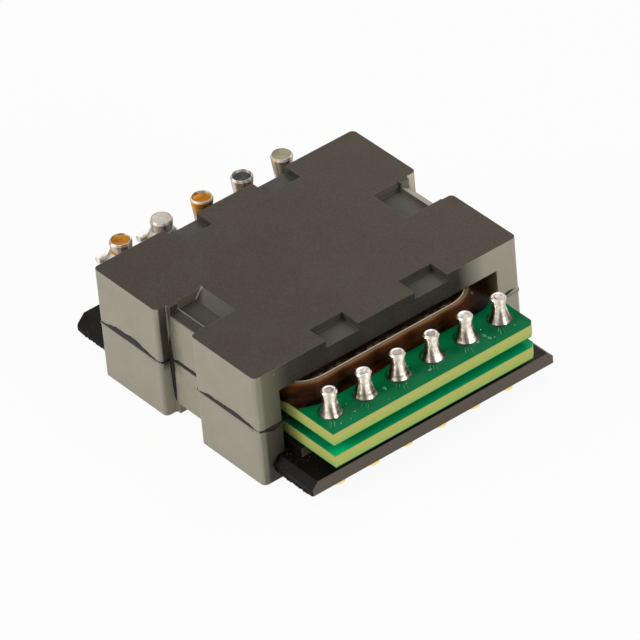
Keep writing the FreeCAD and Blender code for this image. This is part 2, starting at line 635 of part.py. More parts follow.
def make_lead(name, number):
    """A tinned wire from the upper coil, bent a quarter turn round the outside of its pin."""
    body = new_body(name + "_lead", LEAD_HEIGHT)
    bend, pin_y = LEAD_BEND, back_pin_y(number)
    path = new_sketch(body, "lead_path", "XY_Plane")
    stations = [
        ("-" + UPPER_COIL_END, pin_y + " + " + bend), ("-" + PIN_ROW, pin_y + " + " + bend),
        ("-" + PIN_ROW + " - " + bend, pin_y), ("-" + PIN_ROW + " - " + bend, pin_y + " - Sizes.lead_tail"),
    ]
    places = [V(value(x), value(y), 0) for x, y in stations]
    run = path.addGeometry(Part.LineSegment(places[0], places[1]), False)
    corner = path.addGeometry(Part.Arc(places[1], arc_middle(places[1], places[2], value(bend), False),
                                       places[2]), False)
    tail = path.addGeometry(Part.LineSegment(places[2], places[3]), False)
    path.addConstraint(Sketcher.Constraint("Coincident", run, 2, corner, 1))
    path.addConstraint(Sketcher.Constraint("Coincident", corner, 2, tail, 1))
    for geometry, position, station in ((run, 1, 0), (run, 2, 1), (tail, 1, 2), (tail, 2, 3)):
        pin_point(path, geometry, position, stations[station][0], stations[station][1])
    hold_radius(path, corner, bend)

    section = new_sketch(body, "lead_section", "YZ_Plane", "-" + UPPER_COIL_END)
    add_circle(section, pin_y + " + " + bend, "0", "Sizes.lead_radius")
    pipe = body.newObject("PartDesign::AdditivePipe", "lead")
    pipe.Profile = section
    pipe.Spine = path
    doc.recompute()
    return body


def make_lead_solder(name, number, pin, lead):
    """The solder drawn round a wire and its pin, less both of them."""
    blob = doc.addObject("PartDesign::Body", name + "_blob")
    blob.setExpression("Placement.Base.x", X_SHIFT + " - " + PIN_ROW)
    blob.setExpression("Placement.Base.y", back_pin_y(number))
    blob.setExpression("Placement.Base.z", LEAD_HEIGHT)
    skin = "Sizes.back_head"
    profile = new_sketch(blob, "blob_profile", "XZ_Plane")
    add_outline(profile, [
        ("0", "-Sizes.blob_fall"), (skin, "-Sizes.blob_fall"), (LEAD_BEND + " + Sizes.blob_cover", "0"),
        (skin, "Sizes.blob_rise"), ("0", "Sizes.blob_rise"),
    ])
    revolve(blob, "blob", profile)
    without_pin = doc.addObject("Part::Cut", name + "_collar")
    without_pin.Base = blob
    without_pin.Tool = pin
    joint = doc.addObject("Part::Cut", name + "_solder")
    joint.Base = without_pin
    joint.Tool = lead
    joint.Label = name + "_solder"
    doc.recompute()
    return joint


def make_all():
    pieces = [
        make_core_half("upper_core", JOINT_HEIGHT + " + Sizes.glue_thick / 2", False),
        make_core_half("lower_core", JOINT_HEIGHT + " - Sizes.glue_thick / 2", True),
        make_glue("glue_minus_y", "-"),
        make_glue("glue_plus_y", ""),
        make_header(),
        make_board("lower_board", WEB_TOP),
        make_board("upper_board", UPPER_BOARD_FLOOR),
    ]
    film = "Sizes.film_thick"
    middle_end = "(" + PIN_ROW + " - Sizes.middle_coil_pin_gap)"
    middle_side = "(" + WINDOW_SIDE + " - Sizes.middle_coil_side_gap)"
    upper_side = "(" + WINDOW_SIDE + " - Sizes.wrap_rim_side_gap - Sizes.wrap_wall - Sizes.wrap_coil_gap)"
    pieces += [
        make_ring("middle_lower_film", LOWER_BOARD_TOP, middle_end, middle_side, film),
        make_ring("middle_coil", MIDDLE_COIL_FLOOR, middle_end, middle_side, MIDDLE_COIL_HEIGHT),
        make_ring("middle_upper_film", MIDDLE_COIL_TOP, middle_end, middle_side, film),
        make_sheet(),
        make_ring("upper_coil", UPPER_COIL_FLOOR, UPPER_COIL_END, upper_side, UPPER_COIL_HEIGHT,
                  "Sizes.wrap_rim_shift"),
        make_wrap(),
    ]
    for number in range(1, FRONT_PINS + 1):
        pieces += [make_front_pin(number), make_land(number), make_front_solder(number)]
    back_pins = [make_back_pin(number) for number in range(1, BACK_PINS + 1)]
    pieces += back_pins
    for number, name in enumerate(LEADS, start=1):
        lead = make_lead(name, number)
        pieces += [lead, make_lead_solder(name, number, back_pins[number - 1], lead)]
    return pieces


def check(pieces):
    """Stop on any failed object and on any piece that isn't one valid solid."""
    doc.recompute()
    for item in doc.Objects:
        if "Invalid" in item.State or "Error" in item.State:
            raise RuntimeError("%s failed: %s" % (item.Name, item.State))
    for piece in pieces:
        shape = piece.Shape
        if shape.isNull() or not shape.isValid() or not shape.Solids:
            raise RuntimeError("%s has no valid solid" % piece.Label)


pieces = make_all()
check(pieces)
os.makedirs("parts", exist_ok=True)
for piece in pieces:
    piece.Shape.exportStep(os.path.join("parts", piece.Label + ".step"))
print("%d pieces written" % len(pieces))
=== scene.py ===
"""Dresses the planar transformer: materials for every piece, fine surface pieces, floor, light and camera."""

import math
import random

import bmesh
import bpy
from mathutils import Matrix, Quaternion, Vector, noise

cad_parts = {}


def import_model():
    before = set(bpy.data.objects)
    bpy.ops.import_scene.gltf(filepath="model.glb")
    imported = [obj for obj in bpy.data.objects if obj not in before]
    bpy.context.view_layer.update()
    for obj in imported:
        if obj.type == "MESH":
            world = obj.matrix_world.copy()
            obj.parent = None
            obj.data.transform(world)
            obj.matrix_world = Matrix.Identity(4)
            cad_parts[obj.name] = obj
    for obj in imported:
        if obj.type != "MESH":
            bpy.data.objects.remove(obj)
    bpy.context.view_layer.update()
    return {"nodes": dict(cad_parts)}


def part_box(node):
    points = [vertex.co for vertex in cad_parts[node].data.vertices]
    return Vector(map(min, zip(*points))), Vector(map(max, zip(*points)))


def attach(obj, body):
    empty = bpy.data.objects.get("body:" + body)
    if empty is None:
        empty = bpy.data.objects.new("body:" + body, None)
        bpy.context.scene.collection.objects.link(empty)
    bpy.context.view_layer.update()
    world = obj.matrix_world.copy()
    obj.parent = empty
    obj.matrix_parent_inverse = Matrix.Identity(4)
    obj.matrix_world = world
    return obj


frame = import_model()
nodes = frame["nodes"]

MM = 0.001
FRONT_PINS = range(1, 7)
BRIGHT_CAPS = (2, 5, 6)

# The core in millimetres: half widths, distances from its own middle, and levels above or below its joint
CORE_MIDDLE = -0.275
JOINT_HEIGHT = 5.3
SIDE_FACE = 10.2
END_FACE = 13.2
TOP_LEVEL = 5.2
WINDOW_SIDE, WINDOW_LEVEL = 10.95, 3.0
CHANNEL_HALF, CHANNEL_FLOOR = 2.22, 12.13
POCKETS_END = 6.6
RECESS_HALF, RECESS_START, RECESS_LEVEL = 2.14, 8.6, 4.33
RIDGE, RIDGE_LEVEL = 11.28, 4.72
RAMP_FOOT = 4.27
RAMP_SLOPE = 0.45 / 0.85
RECESS_SLOPE = 0.72 / 0.87
RECESS_WALL = RECESS_START + TOP_LEVEL * RECESS_SLOPE
RAMP_FACE = RAMP_FOOT + CHANNEL_FLOOR * RAMP_SLOPE

# The film cuff's rim, in millimetres
CUFF_CORNER = 3.2
CUFF_MIDDLE, CUFF_HALF_LENGTH = -0.7, 9.7

FOOT_GOLD_TOP = 1.2
BEAD_PROUD, CHANNEL_BEAD_PROUD = 0.068, 0.1


def box_mm(name):
    """A node's lowest and highest corners in millimetres."""
    low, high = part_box(name)
    return Vector(low) / MM, Vector(high) / MM


def pin_axis(name):
    """The place of an upright pin in millimetres, at its top."""
    low, high = box_mm(name)
    return Vector(((low.x + high.x) / 2, (low.y + high.y) / 2, high.z))


BOARD_TOP = box_mm("upper_board")[1].z
BOARD_FLOOR = box_mm("lower_board")[0].z
BOARD_PITCH = box_mm("upper_board")[0].z - BOARD_FLOOR
COIL_TOP = box_mm("upper_coil")[1].z
RIM_HEIGHT = box_mm("coil_wrap")[1].z
CUFF_FRONT = box_mm("coil_wrap")[1].x
PIN_TOP = box_mm("back_pin_1")[1].z
LEAD_HEIGHT = sum(corner.z for corner in box_mm("start_lead")) / 2


# -------------------------------- shader helpers

def srgb(red, green, blue):
    """A colour given as it looks on a screen, 0 to 255, as Blender's linear colour."""
    def linear(part):
        part /= 255
        return part / 12.92 if part <= 0.04045 else ((part + 0.055) / 1.055) ** 2.4
    return (linear(red), linear(green), linear(blue), 1.0)


class Tree:
    """A node tree under construction."""

    def __init__(self, tree):
        self.tree = tree

    def add(self, kind, **settings):
        node = self.tree.nodes.new(kind)
        for key, setting in settings.items():
            setattr(node, key, setting)
        return node

    def link(self, source, target):
        self.tree.links.new(source, target)

    def feed(self, socket, source):
        """Link a socket, or set its own value."""
        if isinstance(source, bpy.types.NodeSocket):
            self.link(source, socket)
        else:
            socket.default_value = source

    def math(self, operation, first, second=0.0):
        node = self.add("ShaderNodeMath", operation=operation)
        self.feed(node.inputs[0], first)
        self.feed(node.inputs[1], second)
        return node.outputs[0]

    def both(self, first, *others):
        """The product of two or more masks and factors."""
        for other in others:
            first = self.math("MULTIPLY", first, other)
        return first

    def ramp(self, source, low, high, start=0.0, end=1.0):
        """Map a span of one value to another span, held at its ends."""
        node = self.add("ShaderNodeMapRange", clamp=True)
        self.link(source, node.inputs["Value"])
        node.inputs["From Min"].default_value = low
        node.inputs["From Max"].default_value = high
        node.inputs["To Min"].default_value = start
        node.inputs["To Max"].default_value = end
        return node.outputs["Result"]

    def seen(self):
        """One for what the camera sees, also in polished or clear surfaces, and nought for other light."""
        path = self.add("ShaderNodeLightPath").outputs
        seen = self.math("MAXIMUM", path["Is Camera Ray"], path["Is Glossy Ray"])
        return self.math("MAXIMUM", seen, path["Is Transmission Ray"])


class Shader(Tree):
    """One material under construction."""

    def __init__(self, name):
        self.material = bpy.data.materials.new(name)
        self.material.use_nodes = True
        super().__init__(self.material.node_tree)
        self.tree.nodes.clear()
        self.output = self.add("ShaderNodeOutputMaterial")
        self.surface = self.add("ShaderNodeBsdfPrincipled")
        self.link(self.surface.outputs[0], self.output.inputs["Surface"])
        self.place = self.add("ShaderNodeTexCoord").outputs["Object"]

    def finished(self, **values):
        """The material, with the surface shader's inputs set by name, with _ for a blank."""
        for key, source in values.items():
            self.feed(self.surface.inputs[key.replace("_", " ")], source)
        return self.material

    def scaled(self, x, y, z):
        """The place stretched along each axis."""
        node = self.add("ShaderNodeMapping")
        self.link(self.place, node.inputs["Vector"])
        node.inputs["Scale"].default_value = (x, y, z)
        return node.outputs[0]

    def noise(self, size_mm, detail, roughness=0.55, place=None):
        node = self.add("ShaderNodeTexNoise")
        self.link(place or self.place, node.inputs["Vector"])
        node.inputs["Scale"].default_value = 1 / (size_mm * MM)
        node.inputs["Detail"].default_value = detail
        node.inputs["Roughness"].default_value = roughness
        return node.outputs["Fac"]

    def cells(self, size_mm):
        node = self.add("ShaderNodeTexVoronoi", feature="F1")
        self.link(self.place, node.inputs["Vector"])
        node.inputs["Scale"].default_value = 1 / (size_mm * MM)
        return node.outputs["Distance"]

    def rise(self, source, low_mm, high_mm, start=0.0, end=1.0):
        """A ramp between two places in millimetres."""
        return self.ramp(source, low_mm * MM, high_mm * MM, start, end)

    def fall(self, source, low_mm, high_mm, end=0.0):
        """One up to the first place, and down from there to the second."""
        return self.rise(source, low_mm, high_mm, 1.0, end)

    def within(self, value, low_mm, high_mm):
        """One between two places, with soft ends outside them."""
        soft = 0.05
        return self.both(self.rise(value, low_mm - soft, low_mm), self.fall(value, high_mm, high_mm + soft))

    def mix(self, factor, first, second):
        node = self.add("ShaderNodeMix", data_type="RGBA")
        self.feed(node.inputs["Factor"], factor)
        self.feed(node.inputs[6], first)
        self.feed(node.inputs[7], second)
        return node.outputs[2]

    def clouded(self, cloud, first, second, low=0.3, high=0.7):
        """Two colours spread by a noise."""
        return self.mix(self.ramp(cloud, low, high), first, second)

    def parts(self, vector):
        node = self.add("ShaderNodeSeparateXYZ")
        self.link(vector, node.inputs[0])
        return node.outputs

    def vector(self, x, y, z=0.0):
        node = self.add("ShaderNodeCombineXYZ")
        for socket, source in zip(node.inputs, (x, y, z)):
            self.feed(socket, source)
        return node.outputs[0]

    def normal(self):
        return self.add("ShaderNodeNewGeometry").outputs["Normal"]

    def facing(self, axis):
        """How far the surface faces along an axis, either way."""
        return self.math("ABSOLUTE", self.parts(self.normal())[axis])

    def faces_up(self):
        """One where the surface faces up."""
        return self.ramp(self.parts(self.normal())["Z"], 0.7, 0.9)

    def soft_edges(self, radius_mm):
        """The normal as if the edges were rounded."""
        node = self.add("ShaderNodeBevel", samples=6)
        node.inputs["Radius"].default_value = radius_mm * MM
        return node.outputs[0]

    def edge_mask(self, radius_mm, low=0.05, high=0.35):
        """One near an edge and nought on the flat."""
        dot = self.add("ShaderNodeVectorMath", operation="DOT_PRODUCT")
        self.link(self.soft_edges(radius_mm), dot.inputs[0])
        self.link(self.normal(), dot.inputs[1])
        return self.ramp(self.math("SUBTRACT", 1.0, dot.outputs["Value"]), low, high)

    def bump(self, height, depth_mm, normal=None, strength=1.0):
        """The normal, tilted by a height map."""
        node = self.add("ShaderNodeBump")
        node.inputs["Strength"].default_value = strength
        node.inputs["Distance"].default_value = depth_mm * MM
        self.link(height, node.inputs["Height"])
        if normal:
            self.link(normal, node.inputs["Normal"])
        return node.outputs[0]


# -------------------------------- materials

def ferrite_material():
    """Sintered ferrite: dark top, end faces painted pale as if lit, long faces with painted shade over the
    windows.
    """
    shader = Shader("ferrite")
    mix, both, ramp = shader.mix, shader.both, shader.ramp
    rise, fall, within = shader.rise, shader.fall, shader.within
    x, y, z = shader.parts(shader.place)
    centred = shader.math("SUBTRACT", x, CORE_MIDDLE * MM)
    out_x, out_y = shader.math("ABSOLUTE", centred), shader.math("ABSOLUTE", y)
    level = shader.math("ABSOLUTE", shader.math("SUBTRACT", z, JOINT_HEIGHT * MM))
    cloud, blotch, grain = shader.noise(2.6, 5), shader.noise(0.9, 4, 0.6), shader.noise(0.16, 3, 0.6)
    faces_x, faces_y, faces_z = (shader.facing(axis) for axis in "XYZ")
    near_end, far_end = fall(y, -1, 1), rise(y, -1, 1)
    above_joint = rise(z, JOINT_HEIGHT - 1.0, JOINT_HEIGHT - 0.2)
    past_floor = rise(out_y, CHANNEL_FLOOR - 0.08, CHANNEL_FLOOR + 0.07)
    in_channel = fall(out_y, CHANNEL_FLOOR + 0.17, CHANNEL_FLOOR + 0.27)

    # Top and bottom, with the lighter floors of the edge pockets and the clip recesses
    top = mix(rise(y, -12, 13), srgb(50, 39, 27), srgb(67, 55, 41))
    top = mix(ramp(blotch, 0.35, 0.75, 0.0, 0.25), top, srgb(48, 44, 38))
    top = mix(ramp(shader.noise(4.2, 3), 0.48, 0.66, 0.0, 0.35), top, srgb(58, 57, 44))
    scuffs = shader.noise(0.55, 3, 0.6, shader.scaled(0.6, 1.0, 1.0))
    top = mix(ramp(scuffs, 0.68, 0.74, 0.0, 0.4), top, srgb(34, 26, 20))
    sunk = rise(level, TOP_LEVEL - 0.1, TOP_LEVEL - 0.15)
    pocket = both(sunk, fall(out_y, POCKETS_END, POCKETS_END + 0.1))
    recess = both(sunk, rise(out_y, POCKETS_END, POCKETS_END + 0.1))
    top = mix(pocket, top, srgb(68, 66, 60))
    top = mix(recess, top, mix(far_end, srgb(60, 55, 48), srgb(84, 84, 72)))

    # Ends: painted pale as if lit by the key light, with painted shadow of the tower in the channels beside the
    # -X wall and at their top
    end = shader.clouded(cloud, srgb(148, 141, 125), srgb(158, 151, 136))
    end = mix(ramp(blotch, 0.58, 0.72, 0.0, 0.25), end, srgb(148, 126, 104))
    wander = shader.math("MULTIPLY", shader.math("SUBTRACT", blotch, 0.5), 1.6 * MM)
    darkening = both(fall(shader.math("ADD", centred, wander), -1.7, -0.6), in_channel,
                 rise(z, JOINT_HEIGHT - 1.4, JOINT_HEIGHT - 0.2, 0.0, 0.75))
    end = mix(darkening, end, srgb(88, 83, 71))
    shoulder_shadow = both(rise(z, JOINT_HEIGHT + 3.1, JOINT_HEIGHT + 4.5), in_channel,
                    fall(centred, 0.37 - CHANNEL_HALF, 0.42 - CHANNEL_HALF))
    end = mix(shoulder_shadow, end, srgb(72, 66, 58))

    # Inner walls, with painted shade and light: painted shade darkens the pockets and the walls below the
    # joint, and the windows, channels, recesses and ramps are painted paler where light falls, palest at the
    # far end
    lit_pale_side = srgb(166, 161, 144)
    inner = shader.clouded(cloud, srgb(50, 47, 41), srgb(62, 59, 52))
    far_jamb = mix(rise(out_x, 8.7, 10.1), srgb(92, 60, 54), srgb(158, 142, 124))
    in_window = both(fall(level, WINDOW_LEVEL + 0.1, WINDOW_LEVEL + 0.3),
                     fall(out_y, WINDOW_SIDE + 0.45, WINDOW_SIDE + 0.65))
    inner = mix(in_window, inner, mix(far_end, srgb(92, 88, 74), far_jamb))
    inner = mix(past_floor, inner, mix(above_joint, lit_pale_side, srgb(64, 61, 50)))
    in_recess = both(rise(level, RECESS_LEVEL - 0.08, RECESS_LEVEL - 0.03),
                     within(out_y, RECESS_START - 0.6, RIDGE - 0.03))
    slope = mix(rise(centred, -1.8, 1.6), srgb(84, 80, 68), srgb(62, 58, 50))
    recess_wall = mix(ramp(faces_x, 0.6, 0.8), slope, srgb(92, 83, 71))
    inner = mix(in_recess, inner, recess_wall)
    on_ramp = both(rise(level, RAMP_FOOT - 0.07, RAMP_FOOT - 0.02),
                   within(out_y, RIDGE + 0.1, CHANNEL_FLOOR - 0.03))
    near_ramp = mix(above_joint, lit_pale_side, srgb(41, 38, 34))
    far_ramp = mix(ramp(faces_x, 0.5, 0.8), srgb(214, 200, 176), srgb(100, 101, 91))
    inner = mix(on_ramp, inner, mix(far_end, near_ramp, far_ramp))
    inner = mix(both(far_end, past_floor), inner, srgb(200, 192, 170))

    # Long faces: painted shade over the windows, a painted reflection pale at +Y, and greenish on the -Y legs,
    # with painted shade darker towards their foot
    window_shade = shader.clouded(cloud, srgb(27, 25, 20), srgb(44, 42, 36))
    shaded_low_leg = mix(rise(z, 0.6, 5.6), srgb(54, 52, 44), srgb(88, 85, 72))
    leg = mix(rise(z, JOINT_HEIGHT - 0.1, JOINT_HEIGHT + 0.1), shaded_low_leg, srgb(112, 110, 92))
    long_face = mix(rise(y, -13.1, -9.8), leg, window_shade)
    long_face = mix(rise(y, 7.2, 9.8), long_face, srgb(156, 150, 135))

    # All faces together, with painted highlights on the rounded outer corners and down the channels' inner
    # fillets
    outermost = SIDE_FACE + END_FACE
    is_end = both(ramp(faces_y, 0.2, 0.42),
                  rise(out_y, CHANNEL_FLOOR - 0.13, CHANNEL_FLOOR - 0.03))
    is_long = both(ramp(faces_x, 0.5, 0.8), rise(out_x, SIDE_FACE - 0.15, SIDE_FACE - 0.05))
    corner_highlight = rise(shader.math("ADD", out_x, out_y), outermost - 0.7, outermost - 0.5)
    fillet_highlight = both(ramp(faces_x, 0.45, 0.6), ramp(faces_y, 0.45, 0.6),
                     within(out_y, CHANNEL_FLOOR - 0.23, CHANNEL_FLOOR + 0.22))
    colour = mix(is_long, mix(is_end, inner, end), long_face)
    colour = mix(both(corner_highlight, 0.5), colour, end)
    colour = mix(ramp(faces_z, 0.85, 0.97), colour, top)
    colour = mix(both(fillet_highlight, 0.7), colour, srgb(172, 166, 152))

    # Grain, pores, worn edges, and a painted highlight along the recess and ramp edges
    pores = ramp(shader.cells(0.34), 0.05, 0.15, 1.0, 0.0)
    colour = mix(ramp(grain, 0.4, 0.75, 0.0, 0.1), colour, srgb(140, 132, 120))
    colour = mix(both(pores, 0.3), colour, srgb(34, 30, 27))
    worn = both(shader.edge_mask(0.1), ramp(shader.noise(0.7, 4), 0.42, 0.68, 0.1, 0.5))
    pale_edges = both(shader.edge_mask(0.05, 0.02, 0.2), 0.7,
                  rise(level, RECESS_LEVEL - 0.23, RECESS_LEVEL - 0.13),
                  within(out_y, RECESS_START - 0.6, CHANNEL_FLOOR + 0.07))
    colour = mix(shader.math("MAXIMUM", worn, pale_edges), colour, srgb(150, 142, 128))

    # Painted highlight lines at the near end: up the recess's corner, down the ramp's side and along its crest
    up_wall = shader.math("ADD", out_y, shader.math("MULTIPLY", level, RECESS_SLOPE))
    corner = both(within(up_wall, RECESS_WALL - 0.03, RECESS_WALL + 0.09), near_end, 0.9,
                  within(centred, -RECESS_HALF - 0.16, -RECESS_HALF + 0.06),
                  within(level, RECESS_LEVEL + 0.05, TOP_LEVEL - 0.04))
    down_ramp = shader.math("ADD", level, shader.math("MULTIPLY", out_y, RAMP_SLOPE))
    side = both(within(centred, -RECESS_HALF - 0.06, -RECESS_HALF + 0.08),
                within(out_y, RIDGE + 0.02, CHANNEL_FLOOR - 0.05),
                fall(down_ramp, RAMP_FACE + 0.06, RAMP_FACE + 0.1), near_end)
    crest = both(within(out_y, RIDGE - 0.03, RIDGE + 0.06),
                 within(level, RIDGE_LEVEL - 0.06, RIDGE_LEVEL + 0.06), near_end, 0.45)
    colour = mix(corner, colour, srgb(196, 190, 176))
    colour = mix(both(shader.math("MAXIMUM", side, crest), 0.8), colour, srgb(176, 170, 156))
    rough = shader.bump(grain, 0.01, shader.soft_edges(0.07), 0.35)
    return shader.finished(Base_Color=colour, Roughness=ramp(cloud, 0.3, 0.7, 0.4, 0.52),
                           Specular_IOR_Level=0.25, Normal=shader.bump(pores, -0.02, rough, 0.45))


def tinted(name, dark, light, size_mm, detail, spread, roughness, depth_mm, **values):
    """A plain clouded finish for small pieces."""
    shader = Shader(name)
    cloud = shader.noise(size_mm, detail)
    return shader.finished(Base_Color=shader.clouded(cloud, dark, light, *spread),
                           Roughness=shader.ramp(cloud, 0.3, 0.7, *roughness),
                           Normal=shader.bump(cloud, depth_mm), **values)


def joint_material():
    """The thin joint: dark, and painted pale like the lit faces round it on the end faces and beside the bead
    at +X and +Y.
    """
    shader = Shader("joint")
    x, y, _ = shader.parts(shader.place)
    cloud = shader.noise(0.7, 4)
    front = SIDE_FACE + CORE_MIDDLE
    at_ends = shader.rise(shader.math("ABSOLUTE", y), END_FACE - 0.1, END_FACE - 0.04)
    at_front = shader.both(shader.rise(y, 9, 10), shader.rise(x, front - 0.075, front - 0.025))
    dark = shader.clouded(cloud, srgb(20, 15, 20), srgb(44, 36, 42))
    painted_lit_tone = shader.clouded(cloud, srgb(140, 133, 118), srgb(156, 149, 134))
    colour = shader.mix(shader.math("MAXIMUM", at_ends, at_front), dark, painted_lit_tone)
    return shader.finished(Base_Color=colour, Roughness=0.55, Specular_IOR_Level=0.25,
                           Normal=shader.bump(cloud, 0.03))


def moulding_material():
    """Black resin with flow marks, pale specks and paler rubbed edges; painted sheen towards +Y and on the long
    faces, painted shade at the near end.
    """
    shader = Shader("moulding")
    near_shade, far_sheen, flank_sheen = srgb(9, 7, 6), srgb(62, 54, 48), srgb(106, 97, 88)
    speck, pale_edges = srgb(130, 122, 112), srgb(110, 100, 92)
    y = shader.parts(shader.place)["Y"]
    cloud = shader.noise(1.6, 5, 0.6)
    flow = shader.noise(0.5, 4, 0.6, shader.scaled(1.0, 0.25, 1.0))
    specks = shader.ramp(shader.noise(0.2, 2, 0.5), 0.69, 0.78)
    edges = shader.both(shader.edge_mask(0.08), shader.ramp(cloud, 0.35, 0.7, 0.05, 0.5))
    colour = shader.clouded(cloud, srgb(16, 12, 9), srgb(32, 26, 21))
    colour = shader.mix(shader.rise(y, 4, 10, 0.0, 0.7), colour, far_sheen)
    colour = shader.mix(shader.rise(y, -11.2, -9.6, 0.6, 0.0), colour, near_shade)
    colour = shader.mix(shader.both(shader.ramp(shader.facing("X"), 0.7, 0.9), 0.75), colour, flank_sheen)
    colour = shader.mix(shader.both(specks, 0.3), colour, speck)
    return shader.finished(
        Base_Color=shader.mix(edges, colour, pale_edges), Roughness=shader.ramp(flow, 0.3, 0.7, 0.32, 0.5),
        Specular_IOR_Level=0.07, Normal=shader.bump(flow, 0.03, shader.soft_edges(0.06), 0.6))


def laminate_material(name, dark_green, green, outer_lit_green):
    """Green solder mask above and below, and cut glass cloth between: tan above, greener below."""
    shader = Shader(name)
    low_cut, high_cut, tan = srgb(144, 182, 92), srgb(180, 180, 100), srgb(194, 180, 114)
    x, _, z = shader.parts(shader.place)
    wrapped = shader.add("ShaderNodeMath", operation="WRAP")
    shader.link(shader.math("SUBTRACT", z, BOARD_FLOOR * MM), wrapped.inputs[0])
    wrapped.inputs[1].default_value = BOARD_PITCH * MM
    wrapped.inputs[2].default_value = 0.0
    level = wrapped.outputs[0]
    is_face = shader.ramp(shader.facing("Z"), 0.4, 0.6)
    mask = shader.clouded(shader.noise(1.8, 4), dark_green, green)
    # Towards the outer edge the mask takes the outer green: on the lower board this is painted light
    mask = shader.mix(shader.rise(x, 13.9, 15.2), mask, outer_lit_green)
    thread = shader.noise(0.5, 3, 0.6, shader.scaled(0.3, 0.3, 3.0))
    cut = shader.mix(shader.rise(level, 0.2, 0.7), low_cut, high_cut)
    cut = shader.mix(shader.ramp(thread, 0.35, 0.7, 0.0, 0.4), cut, tan)
    skin = shader.math("MAXIMUM", shader.rise(level, 1.06, 1.1), shader.fall(level, 0.04, 0.08))
    cut = shader.mix(skin, cut, srgb(44, 140, 80))
    colour = shader.mix(is_face, cut, mask)
    colour = shader.mix(shader.both(shader.edge_mask(0.05), 0.3), colour, srgb(120, 178, 110))
    fine = shader.bump(shader.noise(0.9, 2, 0.5), 0.004, shader.soft_edges(0.04), 0.5)
    return shader.finished(Base_Color=colour, Roughness=shader.ramp(is_face, 0.0, 1.0, 0.55, 0.12),
                           Specular_IOR_Level=0.05, Normal=shader.bump(thread, 0.01, fine, 0.1))


def film_material():
    """Brown film: dark at its foot, a painted golden glow under its pale cut rim, painted highlight patches and
    painted shade towards +Y.
    """
    shader = Shader("film")
    foot, amber, golden, patch, shade = (srgb(18, 8, 1), srgb(60, 28, 5), srgb(124, 82, 42),
                                         srgb(92, 46, 8), srgb(14, 6, 2))
    x, y, z = shader.parts(shader.place)
    cloud = shader.noise(0.9, 4, 0.6, shader.scaled(0.5, 0.35, 1.5))
    wall = shader.mix(shader.rise(z, RIM_HEIGHT - 0.9, RIM_HEIGHT - 0.35), foot, amber)
    glow = shader.both(shader.rise(z, RIM_HEIGHT - 0.24, RIM_HEIGHT - 0.06), shader.fall(y, 5, 8.5, 0.2))
    wall = shader.mix(glow, wall, golden)
    # Painted highlight patches, then painted shade towards +Y where the window's shadow falls
    wall = shader.mix(shader.ramp(cloud, 0.45, 0.66, 0.0, 0.5), wall, patch)
    wall = shader.mix(shader.rise(y, 5.5, 8.5, 0.0, 0.75), wall, shade)

    # The rim's layers follow its rounded outline: an outer pale line, a dark groove and an inner line
    def past(value, start_mm):
        return shader.math("MAXIMUM", shader.math("SUBTRACT", value, start_mm * MM), 0.0)

    along = shader.math("ABSOLUTE", shader.math("SUBTRACT", y, CUFF_MIDDLE * MM))
    length = shader.add("ShaderNodeVectorMath", operation="LENGTH")
    shader.link(shader.vector(past(x, CUFF_FRONT - CUFF_CORNER), past(along, CUFF_HALF_LENGTH - CUFF_CORNER)),
                length.inputs[0])
    reach = length.outputs["Value"]
    layers = shader.mix(shader.rise(reach, CUFF_CORNER - 0.2, CUFF_CORNER - 0.18),
                        srgb(150, 122, 92), srgb(58, 36, 20))
    layers = shader.mix(shader.rise(reach, CUFF_CORNER - 0.1, CUFF_CORNER - 0.08), layers, srgb(255, 246, 228))
    rim = shader.both(shader.faces_up(), shader.rise(z, RIM_HEIGHT - 0.05, RIM_HEIGHT - 0.02))
    return shader.finished(
        Base_Color=shader.mix(rim, wall, layers), Roughness=shader.ramp(cloud, 0.3, 0.7, 0.3, 0.45),
        Specular_IOR_Level=0.06, Normal=shader.bump(cloud, 0.05, shader.soft_edges(0.04), 0.4))


def winding_material():
    """Brown layered winding."""
    shader = Shader("winding")
    cloud = shader.noise(1.1, 5, 0.6)
    layers = shader.noise(0.8, 3, 0.6, shader.scaled(0.15, 0.15, 5.0))
    colour = shader.clouded(cloud, srgb(34, 22, 14), srgb(84, 62, 44), 0.35, 0.7)
    colour = shader.mix(shader.ramp(layers, 0.5, 0.7, 0.0, 0.4), colour, srgb(96, 62, 34))
    return shader.finished(Base_Color=colour, Roughness=shader.ramp(cloud, 0.3, 0.7, 0.2, 0.42),
                           Normal=shader.bump(cloud, 0.08, None, 0.6))


def resin_material():
    """Drops and lumps of brown resin."""
    shader = Shader("resin")
    cloud = shader.noise(0.4, 3)
    colour = shader.clouded(cloud, srgb(44, 31, 21), srgb(92, 73, 54), 0.35, 0.65)
    return shader.finished(Base_Color=colour, Roughness=0.34, Normal=shader.bump(cloud, 0.04))


def ribbon_material():
    """Film seen on edge: pale where it was cut, brown on its sides."""
    shader = Shader("ribbon")
    cloud = shader.noise(0.6, 3)
    sides = shader.clouded(cloud, srgb(72, 46, 28), srgb(120, 92, 64), 0.4, 0.7)
    return shader.finished(Base_Color=shader.mix(shader.faces_up(), sides, srgb(244, 228, 204)), Roughness=0.4,
                           Specular_IOR_Level=0.3, Normal=shader.bump(cloud, 0.02))


FOOT_GOLD = srgb(252, 220, 146)


def gold_foot(shader, z, colour):
    """The same colour with the pin's foot in gold."""
    return shader.mix(shader.fall(z, FOOT_GOLD_TOP, FOOT_GOLD_TOP + 0.08), colour, FOOT_GOLD)


